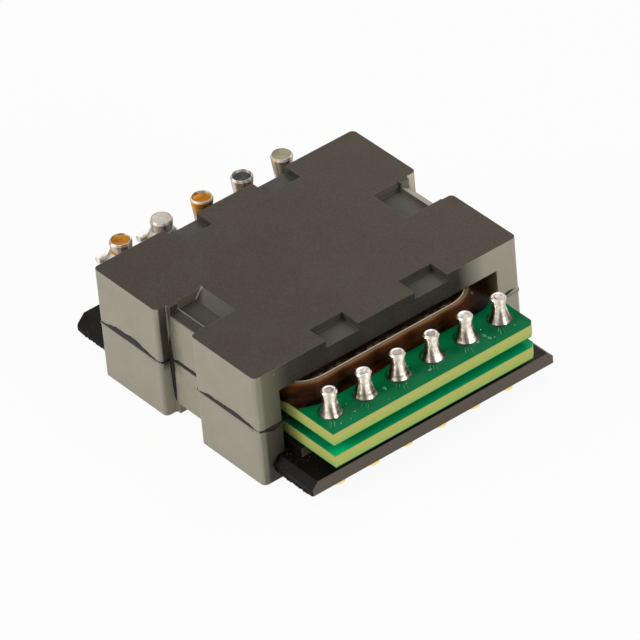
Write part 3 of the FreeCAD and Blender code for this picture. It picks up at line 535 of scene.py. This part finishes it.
def metal_material(name, tones, roughness, size_mm, gold_patches=None, metallic=1.0):
    """Tinned metal in a light and a dark tone, with upright streaks of a third.

    With gold_patches it is a back pin's: its foot is gold, and gold shows here and there at its head.
    """
    shader = Shader(name)
    light, dark, darkening = tones
    z = shader.parts(shader.place)["Z"]
    cloud = shader.noise(size_mm, 2)
    streak = shader.noise(0.42, 1, 0.5, shader.scaled(1.0, 1.0, 0.1))
    upright = shader.ramp(shader.facing("Z"), 0.75, 0.9, 0.9, 0.1)
    colour = shader.clouded(cloud, light, dark, 0.35, 0.7)
    colour = shader.mix(shader.both(shader.ramp(streak, 0.47, 0.6), upright), colour, darkening)
    if gold_patches:
        patch = shader.both(shader.ramp(shader.noise(1.2, 2), 0.62 - gold_patches, 0.72 - gold_patches),
                            shader.rise(z, 7.3, 8.0), shader.fall(z, PIN_TOP - 0.16, PIN_TOP - 0.1))
        colour = shader.mix(patch, gold_foot(shader, z, colour), srgb(206, 148, 58))
    return shader.finished(
        Base_Color=colour, Metallic=metallic, Normal=shader.bump(cloud, 0.02, shader.soft_edges(0.03), 0.4),
        Roughness=shader.ramp(cloud, 0.3, 0.7, roughness, roughness * 1.7))


def drawn_solder_material():
    """Solder that was drawn up a gold-footed pin: bright, with upright bands of painted dark reflection in
    brown-grey round the cone.
    """
    shader = Shader("drawn_solder")
    bright, reflection_grey, mottled, grained = (srgb(248, 238, 222), srgb(104, 90, 80), srgb(108, 98, 88),
                                             srgb(92, 78, 66))
    reflection_bands, lowest_shine = 6.0, 0.22
    normal = shader.parts(shader.normal())
    z = shader.parts(shader.place)["Z"]
    # Upright bands of painted dark reflection round the cone, fainter higher up and on faces that look up
    sway = shader.ramp(shader.noise(1.3, 1, 0.5, shader.scaled(1.0, 1.0, 0.3)), 0.25, 0.75, 0.32, 0.92)
    angle = shader.math("ADD", shader.math("ARCTAN2", normal["Y"], normal["X"]), sway)
    dark_reflection = shader.ramp(shader.math("COSINE", shader.math("MULTIPLY", angle, reflection_bands)), -0.5, 0.9)
    dark_reflection = shader.both(dark_reflection, shader.rise(z, 7.4, 8.0, 0.95, 0.35),
                         shader.ramp(shader.facing("Z"), 0.75, 0.9, 1.0, 0.2))
    mottle = shader.both(shader.ramp(shader.noise(0.5, 3, 0.6), 0.44, 0.6, 0.0, 0.6),
                         shader.fall(z, 6.9, 7.6, 0.3))
    colour = shader.mix(mottle, shader.mix(dark_reflection, bright, reflection_grey), mottled)
    colour = shader.mix(shader.ramp(shader.noise(0.2, 3, 0.6), 0.5, 0.7, 0.0, 0.4), colour, grained)

    # The shading normal is lifted on all but the undersides, so that the cones shine as if lit from above
    lowest = shader.ramp(normal["Z"], -0.9, -0.7, -1.0, lowest_shine)
    whole = shader.add("ShaderNodeVectorMath", operation="NORMALIZE")
    shader.link(shader.vector(normal["X"], normal["Y"], shader.math("MAXIMUM", normal["Z"], lowest)),
                whole.inputs[0])
    return shader.finished(Base_Color=gold_foot(shader, z, colour), Metallic=1.0, Roughness=0.25,
                           Normal=whole.outputs[0])


def dress(material, *names):
    """Give the named nodes a material."""
    for name in names:
        for slot in nodes[name].material_slots:
            slot.material = material


# Tones of metal: light, dark and streaked
TIN = srgb(232, 225, 216), srgb(200, 191, 180), srgb(78, 64, 54)
DULL_TIN = srgb(224, 219, 212), srgb(200, 193, 184), srgb(160, 142, 122)
DULL_SOLDER = srgb(188, 182, 172), srgb(168, 160, 149), srgb(150, 134, 112)
WIRE_TIN = srgb(242, 240, 236), srgb(228, 224, 218), srgb(208, 201, 192)
OXIDE = srgb(52, 58, 60), srgb(34, 38, 42), srgb(28, 28, 30)
WARM_TIN = srgb(156, 148, 128), srgb(134, 126, 106), srgb(140, 116, 76)
CAP_TIN = srgb(182, 170, 162), srgb(128, 116, 110), srgb(112, 98, 88)
BRIGHT_TIN = srgb(240, 234, 226), srgb(120, 110, 106), srgb(150, 138, 128)
GOLD = srgb(186, 126, 42), srgb(146, 92, 24), srgb(112, 66, 16)
# The boards: dark, light and outermost green; the lower board's greens are painted lighter, palest towards its
# outer edge, as painted light in the shaded gap between the boards
GREENS = srgb(0, 100, 56), srgb(3, 116, 68), srgb(2, 116, 68)
LOWER_LIT_GREENS = srgb(2, 132, 78), srgb(4, 146, 88), srgb(8, 206, 128)

ferrite, moulding, film, winding = ferrite_material(), moulding_material(), film_material(), winding_material()
resin, ribbon, drawn_solder = resin_material(), ribbon_material(), drawn_solder_material()
glue = tinted("glue", srgb(16, 12, 16), srgb(36, 29, 34), 0.5, 4, (0.3, 0.7), (0.4, 0.6), 0.03,
              Specular_IOR_Level=0.25)
flux = tinted("flux", srgb(2, 70, 40), srgb(26, 60, 28), 0.35, 3, (0.35, 0.65), (0.08, 0.2), 0.03,
              Specular_IOR_Level=0.3)
# Pale flux for the drops, and the colour of the painted reflections of the pins
pale_flux_and_reflection = tinted("pale_flux_and_reflection", srgb(24, 122, 78), srgb(104, 180, 142), 0.5, 3, (0.35, 0.65), (0.2, 0.3), 0.02)
solder = metal_material("solder", TIN, 0.2, 0.7)
dull_solder = metal_material("dull_solder", DULL_SOLDER, 0.42, 1.4)
wire = metal_material("wire", WIRE_TIN, 0.5, 1.2)
oxide = metal_material("oxide", OXIDE, 0.5, 0.7, metallic=0.2)
warm_tin = metal_material("warm_tin", WARM_TIN, 0.42, 1.4)
cap_tin = metal_material("cap_tin", CAP_TIN, 0.3, 0.8)
bright_cap = metal_material("bright_cap", BRIGHT_TIN, 0.3, 0.5)
gold = metal_material("gold", GOLD, 0.3, 1.0)

dress(ferrite, "upper_core", "lower_core")
dress(joint_material(), "glue_minus_y", "glue_plus_y")
dress(moulding, "header")
dress(laminate_material("laminate", *GREENS), "upper_board")
dress(laminate_material("laminate_below", *LOWER_LIT_GREENS), "lower_board")
dress(film, "coil_wrap", "top_film", "middle_lower_film", "middle_upper_film")
dress(winding, "upper_coil", "middle_coil")
dress(metal_material("back_pin_dull", DULL_TIN, 0.45, 1.4, gold_patches=0.02), "back_pin_1", "back_pin_2")
dress(metal_material("back_pin_gold", DULL_TIN, 0.4, 1.4, gold_patches=0.2), "back_pin_3")
dress(metal_material("back_pin_tin", DULL_TIN, 0.42, 1.4, gold_patches=0.06), "back_pin_4", "back_pin_5")
dress(dull_solder, "start_solder", "finish_solder")
dress(wire, "start_lead", "finish_lead")
for number in FRONT_PINS:
    dress(drawn_solder, "front_pin_%d" % number, "front_solder_%d" % number)
    dress(flux, "front_land_%d" % number)


# -------------------------------- shape helpers

def wave(seed, scale):
    """A smooth value between -1 and 1 that runs along a length or an angle."""
    def at(place):
        return noise.noise(Vector((place * scale, seed * 7.31, seed * 1.7)))
    return at


def circle(count):
    """Angles in equal steps, once round."""
    return [2 * math.pi * turn / count for turn in range(count)]


def on_path(path, place, ease=False):
    """The values at a place along a path, which counts its points."""
    first = min(int(place), len(path) - 2)
    share = place - first
    if ease:
        share = share * share * (3 - 2 * share)
    return [a + (b - a) * share for a, b in zip(path[first], path[first + 1])]


def make_piece(name, verts_mm, faces, material, slot, smooth=True):
    """A piece in millimetres that rides with the part."""
    mesh = bpy.data.meshes.new(name)
    mesh.from_pydata([[part * MM for part in vert] for vert in verts_mm], [], faces)
    mesh.validate()
    shape = bmesh.new()
    shape.from_mesh(mesh)
    bmesh.ops.recalc_face_normals(shape, faces=shape.faces)
    shape.to_mesh(mesh)
    shape.free()
    for face in mesh.polygons:
        face.use_smooth = smooth
    mesh.materials.append(material)
    piece = bpy.data.objects.new(name, mesh)
    bpy.context.collection.objects.link(piece)
    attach(piece, "root")


def loft_rings(rings, close_ends=True):
    """Faces between equal rings of points, with a fan over each end."""
    count = len(rings[0])
    verts = [point for ring in rings for point in ring]
    faces = []
    for row in range(len(rings) - 1):
        for step in range(count):
            a, b = row * count + step, row * count + (step + 1) % count
            faces.append((a, b, b + count, a + count))
    if close_ends:
        for ring, start in ((rings[0], 0), (rings[-1], (len(rings) - 1) * count)):
            middle = len(verts)
            verts.append(sum((Vector(point) for point in ring), Vector()) / count)
            faces += [(start + step, start + (step + 1) % count, middle) for step in range(count)]
    return verts, faces


def joined(forms):
    """Several forms, each its points and faces, as one."""
    verts, faces = [], []
    for more, around in forms:
        faces += [tuple(index + len(verts) for index in face) for face in around]
        verts += more
    return verts, faces


def lathe(name, centre, profile, material, slot, seed, wobble):
    """A turned form from its underside to its top, whose radius wanders a little round its axis.

    The profile gives (radius, height, share of the wobble).
    """
    swing, tilt = wave(seed, 1.0), wave(seed + 3, 1.0)
    rings = []
    for radius, height, share in profile:
        ring = []
        for angle in circle(56):
            drift = swing(2.2 * math.cos(angle)) + swing(2.2 * math.sin(angle) + 9)
            reach = radius * (1 + wobble * share * drift)
            lift = wobble * share * 0.4 * tilt(2 * math.cos(angle) + 5)
            ring.append((centre[0] + reach * math.cos(angle), centre[1] + reach * math.sin(angle),
                         centre[2] + height + lift))
        rings.append(ring)
    make_piece(name, *loft_rings(rings), material, slot)


def smoothed(profile):
    """The same profile with a soft curve through its points."""
    parts = 4
    result = []
    for place in range(len(profile) - 1):
        around = [profile[min(max(place + shift, 0), len(profile) - 1)] for shift in (-1, 0, 1, 2)]
        for step in range(parts):
            share = step / parts
            result.append(tuple(
                b + 0.5 * share * (c - a + share * (2 * a - 5 * b + 4 * c - d
                                                    + share * (3 * b - a - 3 * c + d)))
                for a, b, c, d in zip(*around)))
    return result + [profile[-1]]


def lump(centre, size, seed, detail):
    """A drop lying on a level face: its points and faces, flat underneath."""
    shape = bmesh.new()
    bmesh.ops.create_icosphere(shape, subdivisions=detail, radius=1.0)
    verts = []
    for vert in shape.verts:
        bulge = 1 + 0.35 * noise.noise(vert.co * 1.3 + Vector((seed * 3.1, seed, 0)))
        x, y, z = vert.co * bulge
        verts.append((centre[0] + size[0] * x, centre[1] + size[1] * y, centre[2] + size[2] * max(z, -0.15)))
    faces = [tuple(vert.index for vert in face.verts) for face in shape.faces]
    shape.free()
    return verts, faces


def lumps(name, items, material, slot, detail=3):
    """Several drops in one piece, each given as (centre, size)."""
    forms = (lump(centre, size, seed, detail) for seed, (centre, size) in enumerate(items, start=1))
    make_piece(name, *joined(forms), material, slot)


# -------------------------------- glue

def glue_bead(name, kind, where, path, proud, seed):
    """A wavy bead squeezed out of the joint on an upright "end" or "side" face at its place.

    The path gives (along, height, half thickness).
    """
    between_points, sides, flatness = 10, 8, 0.3
    rings = []
    steps = between_points * (len(path) - 1)
    rough = wave(seed, 1.9)
    for step in range(steps + 1):
        along, height, half = on_path(path, step / between_points, ease=True)
        taper = min(1.0, 4 * step / steps + 0.1, 4 * (1 - step / steps) + 0.1)
        half *= taper * (1 + 0.3 * rough(along * 2 + seed))
        height += 0.05 * rough(along + 40)
        ring = []
        for turn in range(sides + 1):
            angle = math.pi * (turn / sides - 0.5)
            out = proud * taper * math.cos(angle) ** flatness - 0.01 if 0 < turn < sides else -0.02
            level = height + half * math.sin(angle)
            push = where + math.copysign(out, where)
            ring.append((along, push, level) if kind == "end" else (push, along, level))
        rings.append(ring)
    make_piece(name, *loft_rings(rings), glue, "glue")


def glue_run(name, x, y, path, seed):
    """A run of glue down an upright inner corner; the path gives (height, radius)."""
    between_points, flatness = 8, 0.7
    rough = wave(seed, 1.3)
    rings = []
    for step in range(between_points * (len(path) - 1) + 1):
        height, radius = on_path(path, step / between_points)
        ring = []
        for angle in circle(12):
            reach = radius * (1 + 0.25 * rough(height * 1.5 + math.cos(angle)))
            ring.append((x + reach * math.cos(angle), y + flatness * reach * math.sin(angle), height))
        rings.append(ring)
    make_piece(name, *loft_rings(rings), glue, "glue")


END_LEFT = [(-10.25, 5.4, 0.24), (-9.3, 5.46, 0.25), (-8.1, 5.58, 0.32), (-6.9, 5.62, 0.28), (-5.7, 5.7, 0.33),
            (-4.8, 5.5, 0.27), (-3.9, 5.36, 0.22), (-3.1, 5.28, 0.22), (-2.6, 5.36, 0.16)]
END_CHANNEL = [(-2.3, 5.3, 0.12), (-1.7, 5.42, 0.18), (-0.6, 5.4, 0.15), (0.4, 5.38, 0.18), (1.2, 5.34, 0.14),
               (1.9, 5.3, 0.1)]
END_RIGHT = [(2.3, 5.32, 0.18), (3.3, 5.48, 0.26), (4.4, 5.46, 0.23), (5.7, 5.46, 0.27), (7.2, 5.54, 0.25),
             (8.2, 5.42, 0.23), (9.2, 5.3, 0.24), (9.7, 5.32, 0.16)]
SIDE_LEFT = [(-12.95, 5.28, 0.16), (-12.3, 5.2, 0.17), (-11.8, 5.05, 0.2), (-11.3, 5.22, 0.16),
             (-10.97, 5.25, 0.12)]
SIDE_RIGHT = [(10.97, 5.4, 0.1), (11.3, 5.55, 0.14), (11.7, 5.66, 0.13), (12.1, 5.7, 0.11), (12.6, 5.72, 0.08)]
CORNER_RUN = [(7.6, 0.02), (6.9, 0.1), (6.1, 0.13), (5.3, 0.2), (4.5, 0.24), (3.4, 0.2), (2.2, 0.15),
              (1.2, 0.04)]


def turned(path, middle=0.0):
    """The same bead as it runs at the opposite corner of the core."""
    return [(2 * middle - along, 2 * JOINT_HEIGHT - height, half) for along, height, half in reversed(path)]


def add_glue():
    """Runs in the channels' corners, and beads round the core's joint."""
    corner, depth = CHANNEL_HALF - 0.06, CHANNEL_FLOOR + 0.03
    glue_run("glue_run_near", CORE_MIDDLE - corner, -depth, CORNER_RUN, 31)
    glue_run("glue_run_far", CORE_MIDDLE + corner, depth, CORNER_RUN, 32)
    front, back = SIDE_FACE + CORE_MIDDLE, CORE_MIDDLE - SIDE_FACE
    for seed, (name, kind, where, path, proud) in enumerate((
            ("end_left", "end", -END_FACE, END_LEFT, BEAD_PROUD),
            ("channel_near", "end", -CHANNEL_FLOOR, END_CHANNEL, CHANNEL_BEAD_PROUD),
            ("end_right", "end", -END_FACE, END_RIGHT, BEAD_PROUD),
            ("far_left", "end", END_FACE, turned(END_RIGHT, CORE_MIDDLE), BEAD_PROUD),
            ("channel_far", "end", CHANNEL_FLOOR, turned(END_CHANNEL, CORE_MIDDLE), CHANNEL_BEAD_PROUD),
            ("far_right", "end", END_FACE, turned(END_LEFT[1:], CORE_MIDDLE), BEAD_PROUD),
            ("front_left", "side", front, SIDE_LEFT, 0.1),
            ("front_right", "side", front, SIDE_RIGHT, 0.12),
            ("back_left", "side", back, turned(SIDE_RIGHT), 0.1),
            ("back_right", "side", back, turned(SIDE_LEFT), 0.1)), start=1):
        glue_bead("glue_bead_" + name, kind, where, path, proud, seed)


# -------------------------------- pins, board and header

def add_front_joints():
    """The front pins' uneven spools of solder, the dried flux round them and the worn dishes of their heads."""
    low, high = box_mm("front_solder_1")
    radius, seat, rise = (high.x - low.x) / 2, low.z, high.z - low.z
    rng = random.Random(23)
    for number in FRONT_PINS:
        x, y, top = pin_axis("front_pin_%d" % number)
        full = rng.uniform(0.02, 0.06)
        cone = [(radius * 0.8, -0.02, 0.0), (radius + 0.03, -0.03, 1.0), (radius + 0.035, 0.02, 1.0),
                (radius, 0.09, 0.9), (radius - 0.07, 0.24, 0.8), (0.735 + full, 0.44, 0.8),
                (0.665 + full, 0.64, 0.8), (0.605 + full, 0.84, 0.6), (0.57 + full / 2, rise - 0.22, 0.5)]
        neck = [(0.545, rise - 0.06, 0.4), (0.54, rise + 0.08, 0.4), (0.55, rise + 0.25, 0.3)]
        head = [(0.585, rise + 0.45, 0.2), (0.622, rise + 0.6, 0.1), (0.652, rise + 0.7, 0.0),
                (0.655, rise + 0.76, 0.0), (0.625, rise + 0.78, 0.0), (0.5, rise + 0.7, 0.0)]
        lathe("solder_coat_%d" % number, (x, y, seat), smoothed(cone + neck + head), drawn_solder, "solder",
              number, 0.032)
        ring = [(radius * 0.9, 0.0, 0.0), (radius * 1.15, 0.0, 1.0), (radius * 1.18, 0.012, 1.0),
                (radius * 1.15, 0.03, 1.0), (radius * 1.08, 0.035, 0.7), (radius, 0.05, 0.3),
                (radius * 0.9, 0.06, 0.0)]
        lathe("flux_ring_%d" % number, (x, y, BOARD_TOP), ring, flux, "laminate", number + 20, 0.08)
        dish = [(0.48, -0.1, 0.0), (0.565, 0.002, 0.2), (0.54, 0.006, 0.2), (0.42, -0.012, 0.6),
                (0.26, -0.028, 1.0), (0.1, -0.034, 1.0)]
        material = bright_cap if number in BRIGHT_CAPS else cap_tin
        lathe("pin_cap_%d" % number, (x, y, top), dish, material, "solder", number + 40, 0.06)


def pin_reflection_streak(pin, angle, near_end, length, width, bow):
    """One painted reflection streak on the board that starts beside a pin and tapers both ways: its points and
    faces.
    """
    steps, height = 8, Vector((0, 0, 0.02))
    rings = []
    for step in range(steps + 1):
        share = step / steps
        reach = near_end + length * share
        bend = angle + 0.03 * math.sin(3 * share + bow)
        centre = Vector((pin.x + reach * math.cos(bend), pin.y + reach * math.sin(bend), BOARD_TOP))
        across = Vector((-math.sin(bend), math.cos(bend), 0)) * width * (1 - 0.7 * abs(2 * share - 1))
        rings.append([tuple(centre - across), tuple(centre - across * 0.5 + height),
                      tuple(centre + across * 0.5 + height), tuple(centre + across)])
    return loft_rings(rings)


def add_pin_reflection_streaks():
    """Fine pale streaks on the board from the front joints towards its edge: painted reflections of the pins.
    """
    rng = random.Random(77)
    reflection_streaks = []
    for number in FRONT_PINS:
        pin = pin_axis("front_pin_%d" % number)
        for turn in (-9, 0, 9):
            angle = math.radians(-36 + turn + rng.uniform(-3, 3))
            near_end, length, width = rng.uniform(1.04, 1.16), rng.uniform(0.5, 1.1), rng.uniform(0.025, 0.05)
            reflection_streaks.append(pin_reflection_streak(pin, angle, near_end, length, width, number))
    make_piece("pin_reflection_streaks", *joined(reflection_streaks), pale_flux_and_reflection, "laminate")


def add_rim_ribbon():
    """The inner turn of film that shows as a second pale line inside the cuff's rim."""
    clear, corner, tall, thick = 0.02, 2.9, 0.28, 0.12
    low, high = box_mm("upper_coil")
    reach_x, reach_y = (high.x - low.x) / 2 + clear - corner, (high.y - low.y) / 2 + clear - corner
    middle = (low + high) / 2
    outline = []
    for quarter, (sign_x, sign_y) in enumerate(((1, 1), (-1, 1), (-1, -1), (1, -1))):
        for step in range(13):
            angle = math.pi / 2 * (quarter + step / 12)
            outline.append((Vector((sign_x * reach_x, sign_y * reach_y, 0)),
                            Vector((math.cos(angle), math.sin(angle), 0))))
    rings = []
    for out, height in ((0.0, 0.0), (0.0, tall), (-thick, tall), (-thick, 0.0)):
        floor_middle = Vector((middle.x, middle.y, high.z + height))
        rings.append([tuple(floor_middle + centre + way * (corner + out)) for centre, way in outline])
    make_piece("rim_ribbon", *loft_rings(rings + [rings[0]], close_ends=False), ribbon, "film", smooth=False)


def add_cup_fills():
    """What lies in the back pins' cups: gold, dull tin, a low gold pool, dark oxide and tin."""
    fills = ((gold, 0.1), (dull_solder, 0.02), (gold, 0.24), (oxide, 0.2), (warm_tin, 0.03))
    for number, (material, depth) in enumerate(fills, start=1):
        name = "back_pin_%d" % number
        x, y, top = pin_axis(name)
        low, high = box_mm(name)
        radius = (high.x - low.x) / 2 - 0.14
        fill = [(radius * 0.96, -0.2, 0.0), (radius, 0.0, 0.0), (radius * 0.93, -0.03, 0.3),
                (radius * 0.75, -0.07, 1.0), (radius * 0.4, -0.09, 1.0), (radius * 0.1, -0.08, 1.0)]
        lathe("cup_fill_%d" % number, (x, y, top - depth), fill, material, "pin", number + 60, 0.05)


def add_lead_coats():
    """The rough skin of solder on the two wires' tails."""
    length, steps = 1.75, 24
    for seed, name in enumerate(("start_lead", "finish_lead")):
        low, high = box_mm(name)
        radius = (high.z - low.z) / 2
        rough, swell = wave(seed + 80, 2.3), wave(seed + 90, 1.1)
        rings = []
        for step in range(steps + 1):
            share = step / steps
            y = low.y + 0.04 + length * share
            ring = []
            for angle in circle(20):
                uneven = 0.16 * rough(y + math.cos(angle)) + 0.14 * swell(2 * math.sin(angle) + y)
                reach = radius * (1.0 + 0.22 * share + uneven) * min(1.0, 0.55 + 3 * share)
                ring.append((low.x + radius + 0.02 + reach * math.cos(angle), y,
                             LEAD_HEIGHT + reach * math.sin(angle)))
            rings.append(ring)
        make_piece(name + "_coat", *loft_rings(rings), wire, "solder")


def add_small_lumps():
    """Resin on the winding inside the cuff, drops on the header, solder balls and flux on the board."""
    rng = random.Random(11)

    def size(*spans):
        return tuple(rng.uniform(*span) for span in spans)

    items = []
    for step in range(26):
        y = -8.2 + 16.0 * step / 25 + rng.uniform(-0.3, 0.3)
        x = 10.0 + rng.uniform(0.0, 0.45)
        items.append(((x, y, COIL_TOP), size((0.12, 0.3), (0.2, 0.55), (0.04, 0.14))))
    lumps("winding_resin", items, resin, "winding")

    rail_height = 1.2
    rail_top = box_mm("header")[0].z + rail_height
    items = []
    for step in range(18):
        x, y = size((10.3, 12.4), (-11.5, -10.0))
        items.append(((x, y, rail_top), size((0.03, 0.12), (0.03, 0.12), (0.02, 0.07))))
    lumps("header_drops", items, moulding, "moulding", 2)

    items = []
    for step in range(22):
        x, y = size((12.2, 15.1), (-9.6, 9.6))
        items.append(((x, y, BOARD_TOP), (rng.uniform(0.02, 0.05),) * 3))
    lumps("solder_balls", items, solder, "solder", 2)

    drops = (((13.85, 6.25), (0.3, 0.16, 0.02)), ((14.4, 6.35), (0.22, 0.12, 0.015)),
             ((14.15, 5.35), (0.16, 0.2, 0.015)), ((13.9, -5.1), (0.14, 0.3, 0.015)),
             ((13.6, -3.6), (0.2, 0.12, 0.02)), ((14.3, 0.4), (0.12, 0.2, 0.015)))
    lumps("flux_drops", [(place + (BOARD_TOP,), spread) for place, spread in drops], pale_flux_and_reflection, "laminate")


def add_flash():
    """Torn moulding flash along the lower side edges of the pin rails."""
    steps, front_rail, back_rail = 46, (10.15, 14.7), (-15.1, -10.7)
    low = box_mm("header")[0]
    rail_floor, side = low.z, -low.y
    rng = random.Random(5)
    for name, (start, end), sign in (("flash_front_near", front_rail, -1), ("flash_back_near", back_rail, -1),
                                     ("flash_front_far", front_rail, 1), ("flash_back_far", back_rail, 1)):
        rings = []
        for step in range(steps + 1):
            x = start + (end - start) * step / steps
            taper = min(1.0, 6 * step / steps, 6 * (1 - step / steps))
            out = 0.02 + 0.09 * rng.random() * taper
            drop = 0.02 + 0.1 * rng.random() * taper
            y = sign * (side - 0.02)
            inner = y - sign * 0.15
            rings.append([(x, y, rail_floor + 0.22), (x, y + sign * out, rail_floor + 0.12),
                          (x, y + sign * out * 0.8, rail_floor - drop),
                          (x, inner, rail_floor - drop * 0.5), (x, inner, rail_floor + 0.05)])
        make_piece(name, *loft_rings(rings), moulding, "moulding", smooth=False)


add_glue()
add_front_joints()
add_pin_reflection_streaks()
add_rim_ribbon()
add_cup_fills()
add_lead_coats()
add_small_lumps()
add_flash()


# -------------------------------- floor, light and camera

def floor():
    """A wide pale floor, white to the camera with a faint shadow."""
    half, whiteness = 3.0, 0.93
    mesh = bpy.data.meshes.new("floor")
    corners = [(-half, -half, 0), (half, -half, 0), (half, half, 0), (-half, half, 0)]
    mesh.from_pydata(corners, [], [(0, 1, 2, 3)])
    stage = bpy.data.objects.new("floor", mesh)
    bpy.context.collection.objects.link(stage)
    shader = Shader("floor")
    shader.finished(Base_Color=shader.mix(shader.noise(60, 2), srgb(234, 233, 231), srgb(238, 237, 235)),
                    Roughness=0.9)
    white = shader.add("ShaderNodeEmission")
    white.inputs["Strength"].default_value = 1.0
    shown = shader.add("ShaderNodeMixShader")
    shader.link(shader.both(shader.seen(), whiteness), shown.inputs[0])
    shader.link(shader.surface.outputs[0], shown.inputs[1])
    shader.link(white.outputs[0], shown.inputs[2])
    shader.link(shown.outputs[0], shader.output.inputs["Surface"])
    mesh.materials.append(shader.material)


def world():
    """A soft even sky: dim as a lamp, and white where the camera or a polished surface sees it."""
    dim = 0.36
    sky = bpy.data.worlds.new("sky")
    bpy.context.scene.world = sky
    sky.use_nodes = True
    tree = Tree(sky.node_tree)
    background = sky.node_tree.nodes["Background"]
    background.inputs["Color"].default_value = (1, 1, 1, 1)
    tree.link(tree.ramp(tree.seen(), 0.0, 1.0, dim, 1.0), background.inputs["Strength"])


def lamp(name, place_mm, size_mm, watts):
    """A soft lamp that faces the core's middle."""
    core_middle = Vector((0, 0, 5))
    light = bpy.data.lights.new(name, "AREA")
    light.shape = "RECTANGLE"
    light.size, light.size_y = size_mm[0] * MM, size_mm[1] * MM
    light.energy = watts
    holder = bpy.data.objects.new(name, light)
    bpy.context.collection.objects.link(holder)
    holder.location = Vector(place_mm) * MM
    holder.rotation_euler = (core_middle - Vector(place_mm)).to_track_quat("-Z", "Y").to_euler()


def camera(place_mm, aim_mm, roll_degrees, focal_mm):
    """A long lens, turned a little about its own axis."""
    lens = bpy.data.cameras.new("camera")
    lens.lens = focal_mm
    lens.sensor_width = 36
    lens.clip_start, lens.clip_end = 0.01, 20
    holder = bpy.data.objects.new("camera", lens)
    bpy.context.collection.objects.link(holder)
    holder.location = Vector(place_mm) * MM
    level = (Vector(aim_mm) - Vector(place_mm)).to_track_quat("-Z", "Y")
    holder.rotation_mode = "QUATERNION"
    holder.rotation_quaternion = level @ Quaternion((0, 0, 1), math.radians(roll_degrees))
    bpy.context.scene.camera = holder


floor()
world()
lamp("key", (-160, -420, 250), (220, 180), 1.35)
lamp("fill", (440, 90, 120), (200, 150), 0.85)
lamp("top", (-60, 220, 460), (300, 300), 0.55)
camera((369.268, -264.074, 341.533), (1.610, -0.485, 5.1), -5.431, 402.85)
bpy.context.scene.view_settings.view_transform = "Standard"
